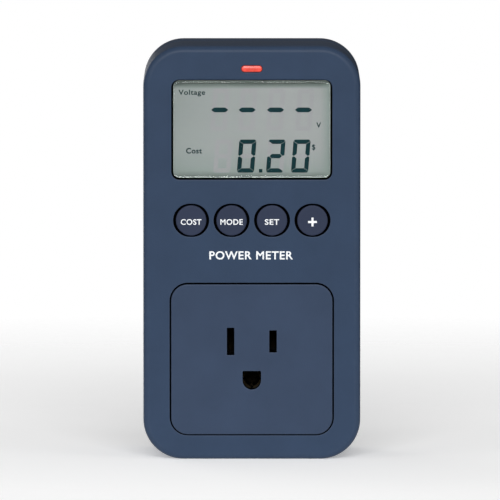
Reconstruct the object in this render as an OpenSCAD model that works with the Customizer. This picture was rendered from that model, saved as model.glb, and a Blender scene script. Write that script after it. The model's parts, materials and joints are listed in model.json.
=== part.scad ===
// Plug-in power meter: a plastic housing with blades on its back and an outlet on its front.
// X runs to the right, Z up, and the front faces -Y. The origin is on the rear face,
// midway between the two flat blades. All sizes are in millimetres.

/* [Housing] */
// Width of the housing
body_w = 65; // [64:0.5:70]
// Height of the housing
body_h = 124; // [123.5:0.1:130]
// Depth of the housing from front face to rear face
body_d = 40; // [38:0.5:44]
// Radius of the four corners seen from the front
corner_r = 12; // [11:0.5:13]
// Rounding of the front and rear edges
edge_r = 1.8; // [1:0.1:2]
// Thickness of the side walls
wall = 2.2; // [1.8:0.1:2.4]
// Depth of the rear cover
rear_depth = 15; // [14:0.5:16]
// Height of the blades and outlet slots above the lower edge
outlet_h = 35.4; // [35:0.1:36]

/* [Display] */
// Width of the clear lens
lens_w = 47; // [44:0.1:47.4]
// Height of the clear lens
lens_h = 29.1; // [27:0.1:29.4]
// Height of the middle of the lens above the blades
lens_z = 63.7; // [63.5:0.1:63.8]
// Length of the indicator lens
indicator_w = 6.2; // [5:0.1:7]
// Height of the indicator lens
indicator_h = 1.9; // [1.5:0.1:2]
// Height of the indicator lens above the blades
indicator_z = 81.8; // [81.7:0.1:82]

/* [Keys] */
// Diameter of a key's face
key_d = 9.1; // [8:0.05:9.2]
// Distance between neighbouring keys
key_pitch = 12.1; // [12:0.1:12.5]
// Height of the row of keys above the blades
key_z = 36.4; // [35.5:0.1:36.6]
// How far the keys stand out of the front face
key_proud = 0.6; // [0.4:0.1:0.8]

/* [Outlet] */
// Width of the socket panel's face
panel_w = 48.3; // [46:0.1:49]
// Height of the socket panel's face
panel_h = 45.1; // [44:0.1:46]
// Height of the middle of the socket panel above the blades
panel_z = -5.4; // [-6:0.1:-5]
// Corner radius of the socket panel
panel_r = 5; // [4:0.5:6]
// Gap around the socket panel
panel_gap = 0.45; // [0.2:0.05:0.5]

/* [Plug] */
// How far the flat blades stand out of the rear face
blade_len = 17.5; // [16:0.1:18.2]
// Thickness of the flat blades
blade_t = 1.5; // [1.4:0.05:1.6]
// Width of the line blade
line_w = 6.35; // [6.2:0.05:6.5]
// Width of the neutral blade
neutral_w = 7.9; // [7.7:0.05:8]
// Diameter of the ground pin
pin_d = 4.75; // [4.7:0.05:4.8]

/* [Hidden] */
$fn = 72;

// Colours
NAVY = [0.235, 0.294, 0.38];
KEY_GREY = [0.245, 0.26, 0.33];
BOARD_GREEN = [0.05, 0.3, 0.16];
BRASS = [0.8, 0.65, 0.35];
DARK_ALLOY = [0.3, 0.24, 0.15];
STEEL = [0.7, 0.7, 0.72];
BLACK = [0.06, 0.06, 0.07];

// Planes from front to back
front_y = -body_d;
front_wall = 2.4;
inner_y = front_y + front_wall;
part_y = -rear_depth;
rear_wall = 2.4;
floor_y = -rear_wall;
mid_z = body_h / 2 - outlet_h;

// Case screws stand in the four corners
boss_x = body_w / 2 - 6.8;
boss_z = [mid_z - body_h / 2 + 7.1, mid_z + body_h / 2 - 7.1];
boss_d = 6.4;
column_d = 7.4;
head_d = 5.4;
head_y = -10;

// Boards stand upright across the housing
board_t = 1.6;
display_y = inner_y + 5.6;
display_back = display_y + board_t;
power_y = -9;
post_x = 28;
post_z = [31.5, 66];
power_post_x = 22;
power_post_z = [27, 73];
display_bottom = 26;
display_top = 85.4;
power_bottom = 22;
power_top = 77;

// Lens, and the display glass behind it
lens_y = front_y + 0.1;
lens_r = 1.8;
lens_gap = 0.3;
lens_flange = 0.8;
glass_w = lens_w + 2 * lens_gap + 0.8;
glass_t = 1.1;
glass_top = lens_z + lens_h / 2 + lens_gap + 0.2;
glass_bottom = lens_z - 18.5;
glass_y = inner_y + lens_flange + 0.1;

// Keys
key_xs = [-1.5 * key_pitch, -0.5 * key_pitch, 0.5 * key_pitch, 1.5 * key_pitch];
key_hole_d = key_d + 0.8;
key_flange = 11.2;
key_flange_y = inner_y + 0.1;
stem_end_y = inner_y + 1.8;
switch_size = 6;
switch_h = 2.6;
plunger_d = 3.3;

// Power board
fuse_x = -6;
fuse_y = power_y - 4.2;
fuse_z = 71;
fuse_len = 20;
fuse_d = 5;
ribbon_x = -17;
ribbon_z = 36;
ribbon_ways = 8;
socket_h = 3;

// Rating label on the back
label_w = 38;
label_h = 26;
label_z = 48;

// Outlet pattern, as the standard plug has it
slot_pitch = 12.7;
slot_x = slot_pitch / 2;
slot_w = 2.2;
line_slot_h = 6.6;
neutral_slot_h = 8.2;
pin_z = -11.89;
ground_hole_r = 2.75;
ground_hole_z = -11.7;
ground_hole_top = -8.9;
panel_y = front_y + 0.2;
flange_back = inner_y + 2;
panel_post_x = 20.5;
ear_front = flange_back + 5.4;
carrier_back = -19.4;
contact_front = flange_back + 4.2;
contact_back = -20.9;
ground_back = -18.5;
tail_end = -16.2;
line_tail_h = 4.4;

// Blades
block_front = -9;
base_front = -14;
base_extra = 2.1;
ear_t = 2;
ear_x = 17.2;
ear_z = -4.5;
collar_y = -12;
pin_len = 18.2;
wire_d = 2.4;
wire_bend = 2.5;
blade_wire_y = (base_front + block_front) / 2;
tail_wire_y = (carrier_back + tail_end) / 2;

// ---- Shapes used by several pieces ----

// Extrudes an outline drawn in X and Z from the plane y0 back to the plane y1
module slab(y0, y1) {
    translate([0, y1, 0]) rotate([90, 0, 0]) linear_extrude(y1 - y0) children();
}

// Round peg or hole along Y
module peg(x, z, y0, y1, d) {
    translate([x, y1, z]) rotate([90, 0, 0]) cylinder(h = y1 - y0, d = d);
}

// Box between two corners
module block(low, high) {
    translate(low) cube(high - low);
}

// Rectangle with round corners, centred
module rounded(w, h, r) {
    square([w - 2 * r, h], center = true);
    square([w, h - 2 * r], center = true);
    for (sx = [-1, 1], sy = [-1, 1]) {
        translate([sx * (w / 2 - r), sy * (h / 2 - r)]) circle(r);
    }
}

// Bar with fully round ends, centred
module capsule(w, h) {
    square([w - h, h], center = true);
    for (s = [-1, 1]) {
        translate([s * (w - h) / 2, 0]) circle(d = h);
    }
}

// Section through the rim of a block whose far edge is rounded
module rim_section(reach, depth, edge) {
    square([reach - edge, depth]);
    square([reach, depth - edge]);
    translate([reach - edge, depth - edge]) circle(edge);
}

// Block with round corners and a rounded far edge, rising from z = 0
module soft_block(w, h, depth, corner, edge) {
    for (sx = [-1, 1], sy = [-1, 1]) {
        translate([sx * (w / 2 - corner), sy * (h / 2 - corner), 0])
            rotate(atan2(sy, sx) - 45)
                rotate_extrude(angle = 90) rim_section(corner, depth, edge);
    }
    for (side = [[0, w, h], [90, h, w], [180, w, h], [270, h, w]]) {
        rotate(side[0]) translate([side[1] / 2 - corner, 0, 0]) rotate([90, 0, 0])
            linear_extrude(side[2] - 2 * corner, center = true) rim_section(corner, depth, edge);
    }
    translate([0, 0, depth / 2])
        cube([w - 2 * corner, h - 2 * corner, depth], center = true);
}

// Soft block whose rounded face looks forward, standing on the plane y
module front_block(y, z, w, h, depth, corner, edge) {
    translate([0, y, z]) rotate([90, 0, 0]) soft_block(w, h, depth, corner, edge);
}

// Pan-head screw along Y with a cross recess, its head against the plane y
module screw(x, z, y, length, d, head, head_h) {
    difference() {
        union() {
            peg(x, z, y - length, y + 0.01, d);
            peg(x, z, y, y + head_h, head);
        }
        for (turn = [0, 90]) {
            translate([x, y + head_h, z]) rotate([0, turn, 0])
                cube([head * 0.55, head_h, head * 0.14], center = true);
        }
    }
}

// Screw driven the other way, its head in front of the plane y
module screw_from_front(x, z, y, length, d, head, head_h) {
    translate([0, 2 * y, 0]) mirror([0, 1, 0]) screw(x, z, y, length, d, head, head_h);
}

// Round wire that rises along Z from z0 and bends back to end on the plane y1
module wire(x, y0, z0, z1, y1) {
    translate([x, y0, z0]) cylinder(h = z1 - z0 - wire_bend, d = wire_d);
    translate([x, y0 + wire_bend, z1 - wire_bend]) rotate([90, 0, 90]) rotate(90)
        rotate_extrude(angle = 90) translate([wire_bend, 0]) circle(d = wire_d);
    if (y1 > y0 + wire_bend) {
        peg(x, z1, y0 + wire_bend, y1, wire_d);
    }
}

module boss_places() {
    for (x = [-boss_x, boss_x], z = boss_z) {
        translate([x, 0, z]) children();
    }
}

// ---- Housing ----

module front_shell() {
    difference() {
        front_block(part_y, mid_z, body_w, body_h, body_d - rear_depth, corner_r, edge_r);
        slab(inner_y, part_y + 1) translate([0, mid_z])
            rounded(body_w - 2 * wall, body_h - 2 * wall, corner_r - wall);
    }
}

module front_cover() {
    color(NAVY) difference() {
        union() {
            front_shell();
            boss_places() peg(0, 0, display_y, part_y, boss_d);
            for (x = [-post_x, post_x], z = post_z) {
                peg(x, z, inner_y - 0.5, display_y, 4.4);
            }
            // bars that keep the keys from turning
            for (s = [-1, 1]) {
                block([-26, inner_y - 0.5, key_z + s * 6.6 - 0.5],
                      [26, inner_y + 1.4, key_z + s * 6.6 + 0.5]);
            }
        }
        slab(front_y - 1, inner_y + 1) translate([0, lens_z])
            rounded(lens_w + 2 * lens_gap, lens_h + 2 * lens_gap, lens_r + lens_gap);
        slab(front_y - 1, inner_y + 1) translate([0, indicator_z])
            capsule(indicator_w + 0.2, indicator_h + 0.2);
        // each key's hole is a little wider than it is high
        for (x = key_xs, s = [-1, 1]) {
            peg(x + s * 0.35, key_z, front_y - 1, inner_y + 1, key_hole_d);
        }
        slab(front_y - 1, inner_y + 1) translate([0, panel_z])
            rounded(panel_w + 2 * panel_gap, panel_h + 2 * panel_gap, panel_r + panel_gap);
        boss_places() peg(0, 0, part_y - 12, part_y + 1, 3);
        for (x = [-post_x, post_x], z = post_z) {
            peg(x, z, display_y - 4.6, display_y + 1, 1.9);
        }
    }
}

module rear_shell() {
    lip = 1.1;
    lip_gap = 0.2;
    groove = 0.5;
    difference() {
        union() {
            translate([0, part_y + groove, mid_z]) rotate([-90, 0, 0])
                soft_block(body_w, body_h, rear_depth - groove, corner_r, edge_r);
            // shadow groove along the joint with the front cover
            slab(part_y, part_y + groove) translate([0, mid_z])
                rounded(body_w - 2 * groove, body_h - 2 * groove, corner_r - groove);
            // lip that locates the front cover
            slab(part_y - 2, part_y) translate([0, mid_z])
                rounded(body_w - 2 * wall - 2 * lip_gap, body_h - 2 * wall - 2 * lip_gap,
                        corner_r - wall - lip_gap);
        }
        slab(part_y - 3, floor_y) translate([0, mid_z])
            rounded(body_w - 2 * wall - 2 * lip, body_h - 2 * wall - 2 * lip,
                    corner_r - wall - lip);
        slab(part_y, floor_y) translate([0, mid_z])
            rounded(body_w - 2 * wall, body_h - 2 * wall, corner_r - wall);
        boss_places() peg(0, 0, part_y - 3, part_y, boss_d + 0.8);
    }
}

module rear_cover() {
    color(NAVY) difference() {
        union() {
            rear_shell();
            boss_places() peg(0, 0, part_y, floor_y + 0.5, column_d);
            for (x = [-power_post_x, power_post_x], z = power_post_z) {
                peg(x, z, power_y + board_t, floor_y + 0.5, 4.8);
            }
            for (x = [-ear_x, ear_x]) {
                peg(x, ear_z, block_front + ear_t, floor_y + 0.5, 4.8);
            }
        }
        boss_places() {
            peg(0, 0, head_y, 1, head_d + 0.4);
            peg(0, 0, part_y - 1, head_y + 1, 3.3);
        }
        for (x = [-power_post_x, power_post_x], z = power_post_z) {
            peg(x, z, power_y, power_y + board_t + 4, 1.9);
        }
        for (x = [-ear_x, ear_x]) {
            peg(x, ear_z, block_front, block_front + ear_t + 3.6, 1.9);
        }
        slab(floor_y - 1, 1) {
            translate([slot_x, 0]) square([blade_t + 0.3, line_w + 0.3], center = true);
            translate([-slot_x, 0]) square([blade_t + 0.3, neutral_w + 0.3], center = true);
        }
        peg(0, pin_z, floor_y - 1, 1, 6);
        // shallow seat for the rating label
        slab(-0.3, 1) translate([0, label_z]) rounded(label_w + 0.4, label_h + 0.4, 1.7);
    }
}

module rating_label() {
    color([0.75, 0.76, 0.78])
        slab(-0.3, -0.1) translate([0, label_z]) rounded(label_w, label_h, 1.5);
}

module case_screws() {
    color(STEEL) boss_places() screw(0, 0, head_y, 15.5, 2.8, head_d, 2);
}

// ---- Display and indicator ----

// Clear block that fills the window, held by a flange behind the front wall
module display_lens() {
    color([0.8, 0.86, 0.84, 0.5]) {
        front_block(inner_y + 0.3, lens_z, lens_w, lens_h, inner_y + 0.3 - lens_y, lens_r, 0.5);
        slab(inner_y, inner_y + lens_flange) translate([0, lens_z])
            rounded(lens_w + 3.6, lens_h + 2.4, lens_r + 1.2);
    }
}

module indicator_lens() {
    color([1, 0.36, 0.31]) translate([0, 0, indicator_z]) {
        slab(front_y, inner_y + 0.5) capsule(indicator_w, indicator_h);
        slab(inner_y, inner_y + 0.8) rounded(8.4, 3.2, 0.6);
        slab(inner_y + 0.5, inner_y + 3.4) capsule(5, 1.8);
    }
}

module indicator_led() {
    color([0.9, 0.9, 0.85])
        block([-1.6, display_y - 1.2, indicator_z - 0.8], [1.6, display_y, indicator_z + 0.8]);
}

module lcd_front_glass() {
    color([0.62, 0.65, 0.63])
        block([-glass_w / 2, glass_y, glass_bottom], [glass_w / 2, glass_y + glass_t, glass_top]);
}

module lcd_rear_glass() {
    color([0.6, 0.63, 0.61])
        block([-glass_w / 2, glass_y + glass_t, glass_bottom + 3.6],
              [glass_w / 2, glass_y + 2 * glass_t, glass_top]);
}

module lcd_reflector() {
    color([0.68, 0.7, 0.66])
        block([-glass_w / 2 + 0.4, glass_y + 2 * glass_t, glass_bottom + 4],
              [glass_w / 2 - 0.4, glass_y + 2 * glass_t + 0.3, glass_top - 0.4]);
}

module lcd_frame() {
    rim = 1.1;
    play = 0.2;
    color([0.85, 0.85, 0.82]) difference() {
        block([-glass_w / 2 - play - rim, glass_y, glass_bottom - play - rim],
              [glass_w / 2 + play + rim, display_y, glass_top + play + rim]);
        block([-glass_w / 2 - play, glass_y - 1, glass_bottom - play],
              [glass_w / 2 + play, display_y + 1, glass_top + play]);
    }
}

module contact_strip() {
    color([0.75, 0.35, 0.45])
        block([-22.5, glass_y + glass_t, glass_bottom + 0.5],
              [22.5, display_y, glass_bottom + 2.9]);
}

module display_board() {
    color(BOARD_GREEN) difference() {
        block([-29.7, display_y, display_bottom], [29.7, display_back, display_top]);
        // upper corners left free for the case screws
        for (s = [0, 1]) {
            mirror([s, 0, 0]) block([boss_x - 3.9, display_y - 1, boss_z[1] - 3.9],
                                    [30, display_back + 1, display_top + 1]);
        }
        for (x = [-post_x, post_x], z = post_z) {
            peg(x, z, display_y - 1, display_back + 1, 2.3);
        }
    }
}

module display_screws() {
    color(STEEL) for (x = [-post_x, post_x], z = post_z) {
        screw(x, z, display_back, 5.6, 1.8, 3.2, 1.3);
    }
}

// Flat chip package on the plane y with a row of legs along two sides, facing back for side = 1
module chip(x, z, y, w, h, side, legs) {
    top = y + side * 1.8;
    block([x - w / 2, min(y + side * 0.2, top), z - h / 2],
          [x + w / 2, max(y + side * 0.2, top), z + h / 2]);
    pitch = h / legs;
    for (i = [0:legs - 1], s = [-1, 1]) {
        leg_z = z - h / 2 + (i + 0.5) * pitch;
        near = x + s * (w / 2 - 0.1);
        far = x + s * (w / 2 + 1.1);
        block([min(near, far), min(y, y + side * 0.6), leg_z - 0.2],
              [max(near, far), max(y, y + side * 0.6), leg_z + 0.2]);
    }
}

module display_chip() {
    color(BLACK) chip(-2, 63, display_back, 10, 10, 1, 10);
}

module crystal() {
    color(STEEL) translate([-14, display_back + 1.8, 63]) rotate([90, 0, 0])
        linear_extrude(1.8) capsule(10.2, 3.8);
}

module backup_cell() {
    color(STEEL) {
        peg(13, 42, display_back + 0.4, display_back + 3.6, 16);
        for (s = [-1, 1]) {
            block([13 + s * 6 - 1.5, display_back, 41], [13 + s * 6 + 1.5, display_back + 0.6, 43]);
        }
    }
}

// ---- Keys: a cap with a square flange, and the plunger of the switch behind it ----

module key(x) {
    round_edge = 0.5;
    reach = key_d / 2;
    depth = key_flange_y - front_y + key_proud;
    color(KEY_GREY) {
        translate([x, key_flange_y, key_z]) rotate([90, 0, 0]) rotate_extrude()
            rim_section(reach, depth, round_edge);
        slab(key_flange_y, key_flange_y + 0.8) translate([x, key_z])
            rounded(key_flange, key_flange, 2);
        peg(x, key_z, key_flange_y + 0.5, stem_end_y, 4.4);
    }
}

module plunger(x) {
    color(BLACK) peg(x, key_z, stem_end_y, display_y - 1.5, plunger_d);
}

module switch_body(x) {
    half = switch_size / 2;
    color([0.16, 0.16, 0.17]) difference() {
        union() {
            block([x - half, display_y - switch_h, key_z - half], [x + half, display_y, key_z + half]);
            for (sx = [-1, 1], sz = [-1, 1]) {
                block([x + sx * 3.4 - 0.5, display_y - 0.6, key_z + sz * 2 - 0.4],
                      [x + sx * 3.4 + 0.5, display_y, key_z + sz * 2 + 0.4]);
            }
        }
        peg(x, key_z, display_y - switch_h - 1, display_y - 0.5, plunger_d + 0.6);
    }
}

// ---- Power board ----

module power_board() {
    color(BOARD_GREEN) difference() {
        block([-25.5, power_y, power_bottom], [25.5, power_y + board_t, power_top]);
        for (x = [-power_post_x, power_post_x], z = power_post_z) {
            peg(x, z, power_y - 1, power_y + board_t + 1, 2.3);
        }
    }
}

module power_screws() {
    color(STEEL) for (x = [-power_post_x, power_post_x], z = power_post_z) {
        screw_from_front(x, z, power_y, 5.2, 1.8, 4, 1.4);
    }
}

// Rod along X between two places
module rod_x(x0, x1, y, z, d) {
    translate([x0, y, z]) rotate([0, 90, 0]) cylinder(h = x1 - x0, d = d);
}

module fuse_tube() {
    half = fuse_len / 2 - 5;
    color([0.85, 0.9, 0.9, 0.5]) rod_x(fuse_x - half, fuse_x + half, fuse_y, fuse_z, fuse_d);
}

module fuse_caps() {
    color(STEEL) for (s = [-1, 1]) {
        mid = fuse_x + s * (fuse_len / 2 - 2.5);
        rod_x(mid - 2.5, mid + 2.5, fuse_y, fuse_z, fuse_d + 0.2);
    }
}

module fuse_clips() {
    color(BRASS) for (s = [-1, 1]) {
        mid = fuse_x + s * (fuse_len / 2 - 2.5);
        difference() {
            block([mid - 2, fuse_y - 1.5, fuse_z - 3.2], [mid + 2, power_y, fuse_z + 3.2]);
            rod_x(mid - 3, mid + 3, fuse_y, fuse_z, fuse_d + 0.3);
            block([mid - 3, fuse_y - 3, fuse_z - 2.1], [mid + 3, fuse_y, fuse_z + 2.1]);
        }
    }
}

module varistor() {
    color([0.1, 0.25, 0.5]) {
        rod_x(14, 18, power_y - 7.4, 62, 11);
        for (s = [-1, 1]) {
            peg(16, 62 + s * 2.5, power_y - 4, power_y, 0.8);
        }
    }
}

module film_capacitor() {
    color([0.75, 0.6, 0.15]) slab(power_y - 8.5, power_y) translate([13, 45]) rounded(18, 13, 0.8);
}

module electrolytic_capacitor() {
    x = -15;
    z = 50;
    color([0.1, 0.12, 0.2]) difference() {
        peg(x, z, power_y - 12, power_y, 10);
        // pressed groove near the foot and the vent in the top
        difference() {
            peg(x, z, power_y - 2.4, power_y - 1.6, 11);
            peg(x, z, power_y - 3, power_y - 1, 9.2);
        }
        for (turn = [0, 90]) {
            translate([x, power_y - 12, z]) rotate([0, turn, 0]) cube([6, 0.5, 0.5], center = true);
        }
    }
}

module rectifier_diodes() {
    color(BLACK) for (i = [0:3]) {
        z = 56.4 + i * 3.1;
        rod_x(-3, 2, power_y - 1.5, z, 2.6);
        rod_x(-5, 4, power_y - 1.5, z, 0.8);
        for (x = [-5, 4]) {
            peg(x, z, power_y - 1.9, power_y, 0.8);
        }
    }
}

module current_shunt() {
    color([0.6, 0.5, 0.4]) {
        block([-4, power_y - 4, 34.2], [11, power_y - 3.2, 37]);
        for (x = [-4, 10.2]) {
            block([x, power_y - 4, 34.2], [x + 0.8, power_y, 37]);
        }
    }
}

module metering_chip() {
    color(BLACK) chip(14, 29, power_y, 7.4, 10, -1, 8);
}

module board_ribbon() {
    pitch = 1.1;
    color([0.6, 0.6, 0.62]) for (i = [0:ribbon_ways - 1]) {
        peg(ribbon_x + (i - (ribbon_ways - 1) / 2) * pitch, ribbon_z,
            display_back + socket_h, power_y - socket_h, 1.2);
    }
}

module ribbon_sockets() {
    color([0.9, 0.9, 0.86]) {
        block([ribbon_x - 6, display_back, ribbon_z - 2],
              [ribbon_x + 6, display_back + socket_h, ribbon_z + 2]);
        block([ribbon_x - 6, power_y - socket_h, ribbon_z - 2],
              [ribbon_x + 6, power_y, ribbon_z + 2]);
    }
}

// ---- Outlet ----

module socket_panel() {
    color(NAVY) difference() {
        union() {
            front_block(inner_y + 0.5, panel_z, panel_w, panel_h, inner_y + 0.5 - panel_y,
                        panel_r, 0.3);
            slab(inner_y, flange_back) translate([0, panel_z])
                rounded(panel_w + 3.6, panel_h + 3.6, panel_r + 1.5);
            for (x = [-panel_post_x, panel_post_x]) {
                peg(x, panel_z, flange_back - 0.5, ear_front, 5.2);
            }
        }
        slab(front_y - 1, flange_back + 1) {
            translate([slot_x, 0]) square([slot_w, line_slot_h], center = true);
            translate([-slot_x, 0]) square([slot_w, neutral_slot_h], center = true);
            translate([0, ground_hole_z]) circle(ground_hole_r);
            translate([-ground_hole_r, ground_hole_z])
                square([2 * ground_hole_r, ground_hole_top - ground_hole_z]);
        }
        for (x = [-panel_post_x, panel_post_x]) {
            peg(x, panel_z, ear_front - 4.8, ear_front + 1, 1.9);
        }
    }
}

module contact_carrier() {
    color(BLACK) difference() {
        union() {
            block([-14.5, flange_back, -17.6], [14.5, carrier_back, 8.2]);
            block([-23.5, ear_front, panel_z - 3.2], [23.5, ear_front + ear_t, panel_z + 3.2]);
        }
        // pockets open towards the socket panel
        block([slot_x - 2.5, flange_back - 1, -4.4], [slot_x + 2.5, contact_back, 4.4]);
        block([-slot_x - 2.5, flange_back - 1, -5.2], [-slot_x + 2.5, contact_back, 5.2]);
        block([-3.7, flange_back - 1, -15.7], [3.7, contact_back, -8]);
        // slits for the tails, and a hole for the ground sleeve
        for (x = [-slot_x, slot_x]) {
            block([x - 0.5, contact_back - 1, -2.4], [x + 0.5, carrier_back + 1, 2.4]);
        }
        peg(0, pin_z, contact_back - 1, carrier_back + 1, 6.1);
        for (x = [-panel_post_x, panel_post_x]) {
            peg(x, panel_z, ear_front - 1, ear_front + ear_t + 1, 2.3);
        }
    }
}

module carrier_screws() {
    color(STEEL) for (x = [-panel_post_x, panel_post_x]) {
        screw(x, panel_z, ear_front + ear_t, 6, 1.8, 4, 1.4);
    }
}

// Two spring leaves that pinch a flat blade, with a tail through the carrier
module blade_contact(x, height) {
    pinch_y = contact_front + 2.4;
    leaf = 0.6;
    for (s = [0, 1]) {
        translate([x, 0, 0]) mirror([s, 0, 0]) linear_extrude(height, center = true)
            polygon([
                [0, contact_back], [2, contact_back], [0.65 + leaf, pinch_y],
                [2.1, contact_front], [1.5, contact_front], [0.65, pinch_y],
                [2 - leaf, contact_back - leaf], [0, contact_back - leaf]
            ]);
    }
    block([x - 0.4, contact_back - leaf, -line_tail_h / 2], [x + 0.4, tail_end, line_tail_h / 2]);
}

module line_contact() {
    color(DARK_ALLOY) blade_contact(slot_x, 6.6);
}

module neutral_contact() {
    color(DARK_ALLOY) blade_contact(-slot_x, 8.2);
}

module ground_contact() {
    color(DARK_ALLOY) {
        difference() {
            peg(0, pin_z, contact_front, ground_back, 5.9);
            peg(0, pin_z, contact_front - 1, ground_back - 0.6, 4.6);
            // slits that let the sleeve spring open
            block([-4, contact_front - 1, pin_z - 0.4], [4, contact_back - 2, pin_z + 0.4]);
            block([-0.4, contact_front - 1, pin_z - 4], [0.4, contact_back - 2, pin_z + 4]);
        }
        block([-2.5, ground_back - 0.3, pin_z - 0.4], [2.5, tail_end, pin_z + 0.4]);
    }
}

// ---- Plug ----

// Flat blade with bevelled corners at its tip, a wider base inside and a hole near the tip
module flat_blade(x, width) {
    bevel = 1.3;
    half = width / 2;
    base = half + base_extra / 2;
    translate([x - blade_t / 2, 0, 0]) difference() {
        rotate([90, 0, 90]) linear_extrude(blade_t) polygon([
            [base_front, -base], [block_front, -base], [block_front, -half],
            [blade_len - bevel, -half], [blade_len, bevel - half],
            [blade_len, half - bevel], [blade_len - bevel, half],
            [block_front, half], [block_front, base], [base_front, base]
        ]);
        rod_x(-1, blade_t + 1, 11.7, 0, 3.1);
    }
}

module line_blade() {
    color(BRASS) flat_blade(slot_x, line_w);
}

module neutral_blade() {
    color(BRASS) flat_blade(-slot_x, neutral_w);
}

module ground_pin() {
    color(BRASS) {
        peg(0, pin_z, collar_y, block_front, 7.4);
        peg(0, pin_z, block_front, 0, 5.6);
        peg(0, pin_z, 0, pin_len, pin_d);
        translate([0, pin_len, pin_z]) rotate([-90, 0, 0]) rotate_extrude() intersection() {
            circle(d = pin_d);
            square(pin_d);
        }
    }
}

module blade_block() {
    color([0.88, 0.87, 0.82]) difference() {
        union() {
            block([-12.5, block_front, -17.6], [12.5, floor_y, 8.2]);
            block([-ear_x - 3.4, block_front, ear_z - 3.2],
                  [ear_x + 3.4, block_front + ear_t, ear_z + 3.2]);
        }
        block([slot_x - blade_t / 2 - 0.05, block_front - 1, -line_w / 2 - 0.05],
              [slot_x + blade_t / 2 + 0.05, 0, line_w / 2 + 0.05]);
        block([-slot_x - blade_t / 2 - 0.05, block_front - 1, -neutral_w / 2 - 0.05],
              [-slot_x + blade_t / 2 + 0.05, 0, neutral_w / 2 + 0.05]);
        peg(0, pin_z, block_front - 1, 0, 5.7);
        for (x = [-ear_x, ear_x]) {
            peg(x, ear_z, block_front - 1, block_front + ear_t + 1, 2.3);
        }
    }
}

module block_screws() {
    color(STEEL) for (x = [-ear_x, ear_x]) {
        screw_from_front(x, ear_z, block_front, 5.2, 1.8, 4, 1.4);
    }
}

module ground_strap() {
    color(BRASS) {
        block([-2.5, ground_back, pin_z + 0.4], [2.5, collar_y, pin_z + 1.2]);
        block([-2.5, collar_y - 0.8, pin_z - 2.4], [2.5, collar_y, pin_z + 0.5]);
    }
}

// ---- Wires ----

module line_in_wire() {
    color(BLACK) wire(slot_x, blade_wire_y, (line_w + base_extra) / 2, 25.5, power_y);
}

module neutral_in_wire() {
    color([0.9, 0.9, 0.9])
        wire(-slot_x, blade_wire_y, (neutral_w + base_extra) / 2, 25.5, power_y);
}

module line_out_wire() {
    color(BLACK) wire(slot_x, tail_wire_y, line_tail_h / 2, 31, power_y);
}

module neutral_out_wire() {
    color([0.9, 0.9, 0.9]) wire(-slot_x, tail_wire_y, line_tail_h / 2, 31, power_y);
}

// ---- Nodes ----

front_cover();
rear_cover();
socket_panel();
display_lens();
indicator_lens();
case_screws();
rating_label();
key(key_xs[0]);  // cost_key
key(key_xs[1]);  // mode_key
key(key_xs[2]);  // set_key
key(key_xs[3]);  // plus_key
plunger(key_xs[0]);  // cost_plunger
plunger(key_xs[1]);  // mode_plunger
plunger(key_xs[2]);  // set_plunger
plunger(key_xs[3]);  // plus_plunger
switch_body(key_xs[0]);  // cost_switch
switch_body(key_xs[1]);  // mode_switch
switch_body(key_xs[2]);  // set_switch
switch_body(key_xs[3]);  // plus_switch
lcd_front_glass();
lcd_rear_glass();
lcd_reflector();
lcd_frame();
contact_strip();
display_board();
display_screws();
indicator_led();
display_chip();
crystal();
backup_cell();
power_board();
power_screws();
fuse_tube();
fuse_caps();
fuse_clips();
varistor();
film_capacitor();
electrolytic_capacitor();
rectifier_diodes();
current_shunt();
metering_chip();
board_ribbon();
ribbon_sockets();
contact_carrier();
carrier_screws();
line_contact();
neutral_contact();
ground_contact();
line_blade();
neutral_blade();
ground_pin();
blade_block();
block_screws();
ground_strap();
line_in_wire();
neutral_in_wire();
line_out_wire();
neutral_out_wire();
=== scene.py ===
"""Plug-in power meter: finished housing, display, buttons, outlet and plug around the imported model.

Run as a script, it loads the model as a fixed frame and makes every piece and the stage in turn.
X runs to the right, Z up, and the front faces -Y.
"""

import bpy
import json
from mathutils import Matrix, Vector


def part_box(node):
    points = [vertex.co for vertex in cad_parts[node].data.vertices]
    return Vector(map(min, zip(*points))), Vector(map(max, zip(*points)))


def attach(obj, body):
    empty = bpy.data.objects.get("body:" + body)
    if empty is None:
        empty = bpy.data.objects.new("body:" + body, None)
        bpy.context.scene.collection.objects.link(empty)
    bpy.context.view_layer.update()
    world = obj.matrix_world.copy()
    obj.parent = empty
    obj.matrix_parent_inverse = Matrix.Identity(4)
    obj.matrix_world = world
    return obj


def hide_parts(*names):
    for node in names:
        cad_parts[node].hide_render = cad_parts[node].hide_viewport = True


bl_info = {
    "name": "Plug-in Power Meter",
    "version": (1, 0, 0),
    "blender": (4, 5, 0),
    "location": "View3D > Sidebar > Power Meter",
    "description": "Makes the visible pieces of a plug-in power meter and the stage it stands on",
    "category": "Object",
}

import json
import math

import bmesh
import bpy
from bpy.props import FloatProperty, FloatVectorProperty, PointerProperty
from mathutils import Vector

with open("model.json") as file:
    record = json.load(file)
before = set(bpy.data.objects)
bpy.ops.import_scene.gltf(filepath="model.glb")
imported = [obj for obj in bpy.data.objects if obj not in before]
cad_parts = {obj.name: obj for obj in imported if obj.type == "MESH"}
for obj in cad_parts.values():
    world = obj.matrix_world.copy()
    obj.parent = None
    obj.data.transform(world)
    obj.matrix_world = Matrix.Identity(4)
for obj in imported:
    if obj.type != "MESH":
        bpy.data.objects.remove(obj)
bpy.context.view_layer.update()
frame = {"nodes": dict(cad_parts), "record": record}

# Meshes are worked out in millimetres and scaled once, when a piece is finished
MM = 0.001


def box_mm(node):
    """Lowest and highest corner of a node of the frame, in millimetres."""
    low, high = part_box(node)
    return low / MM, high / MM


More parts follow.
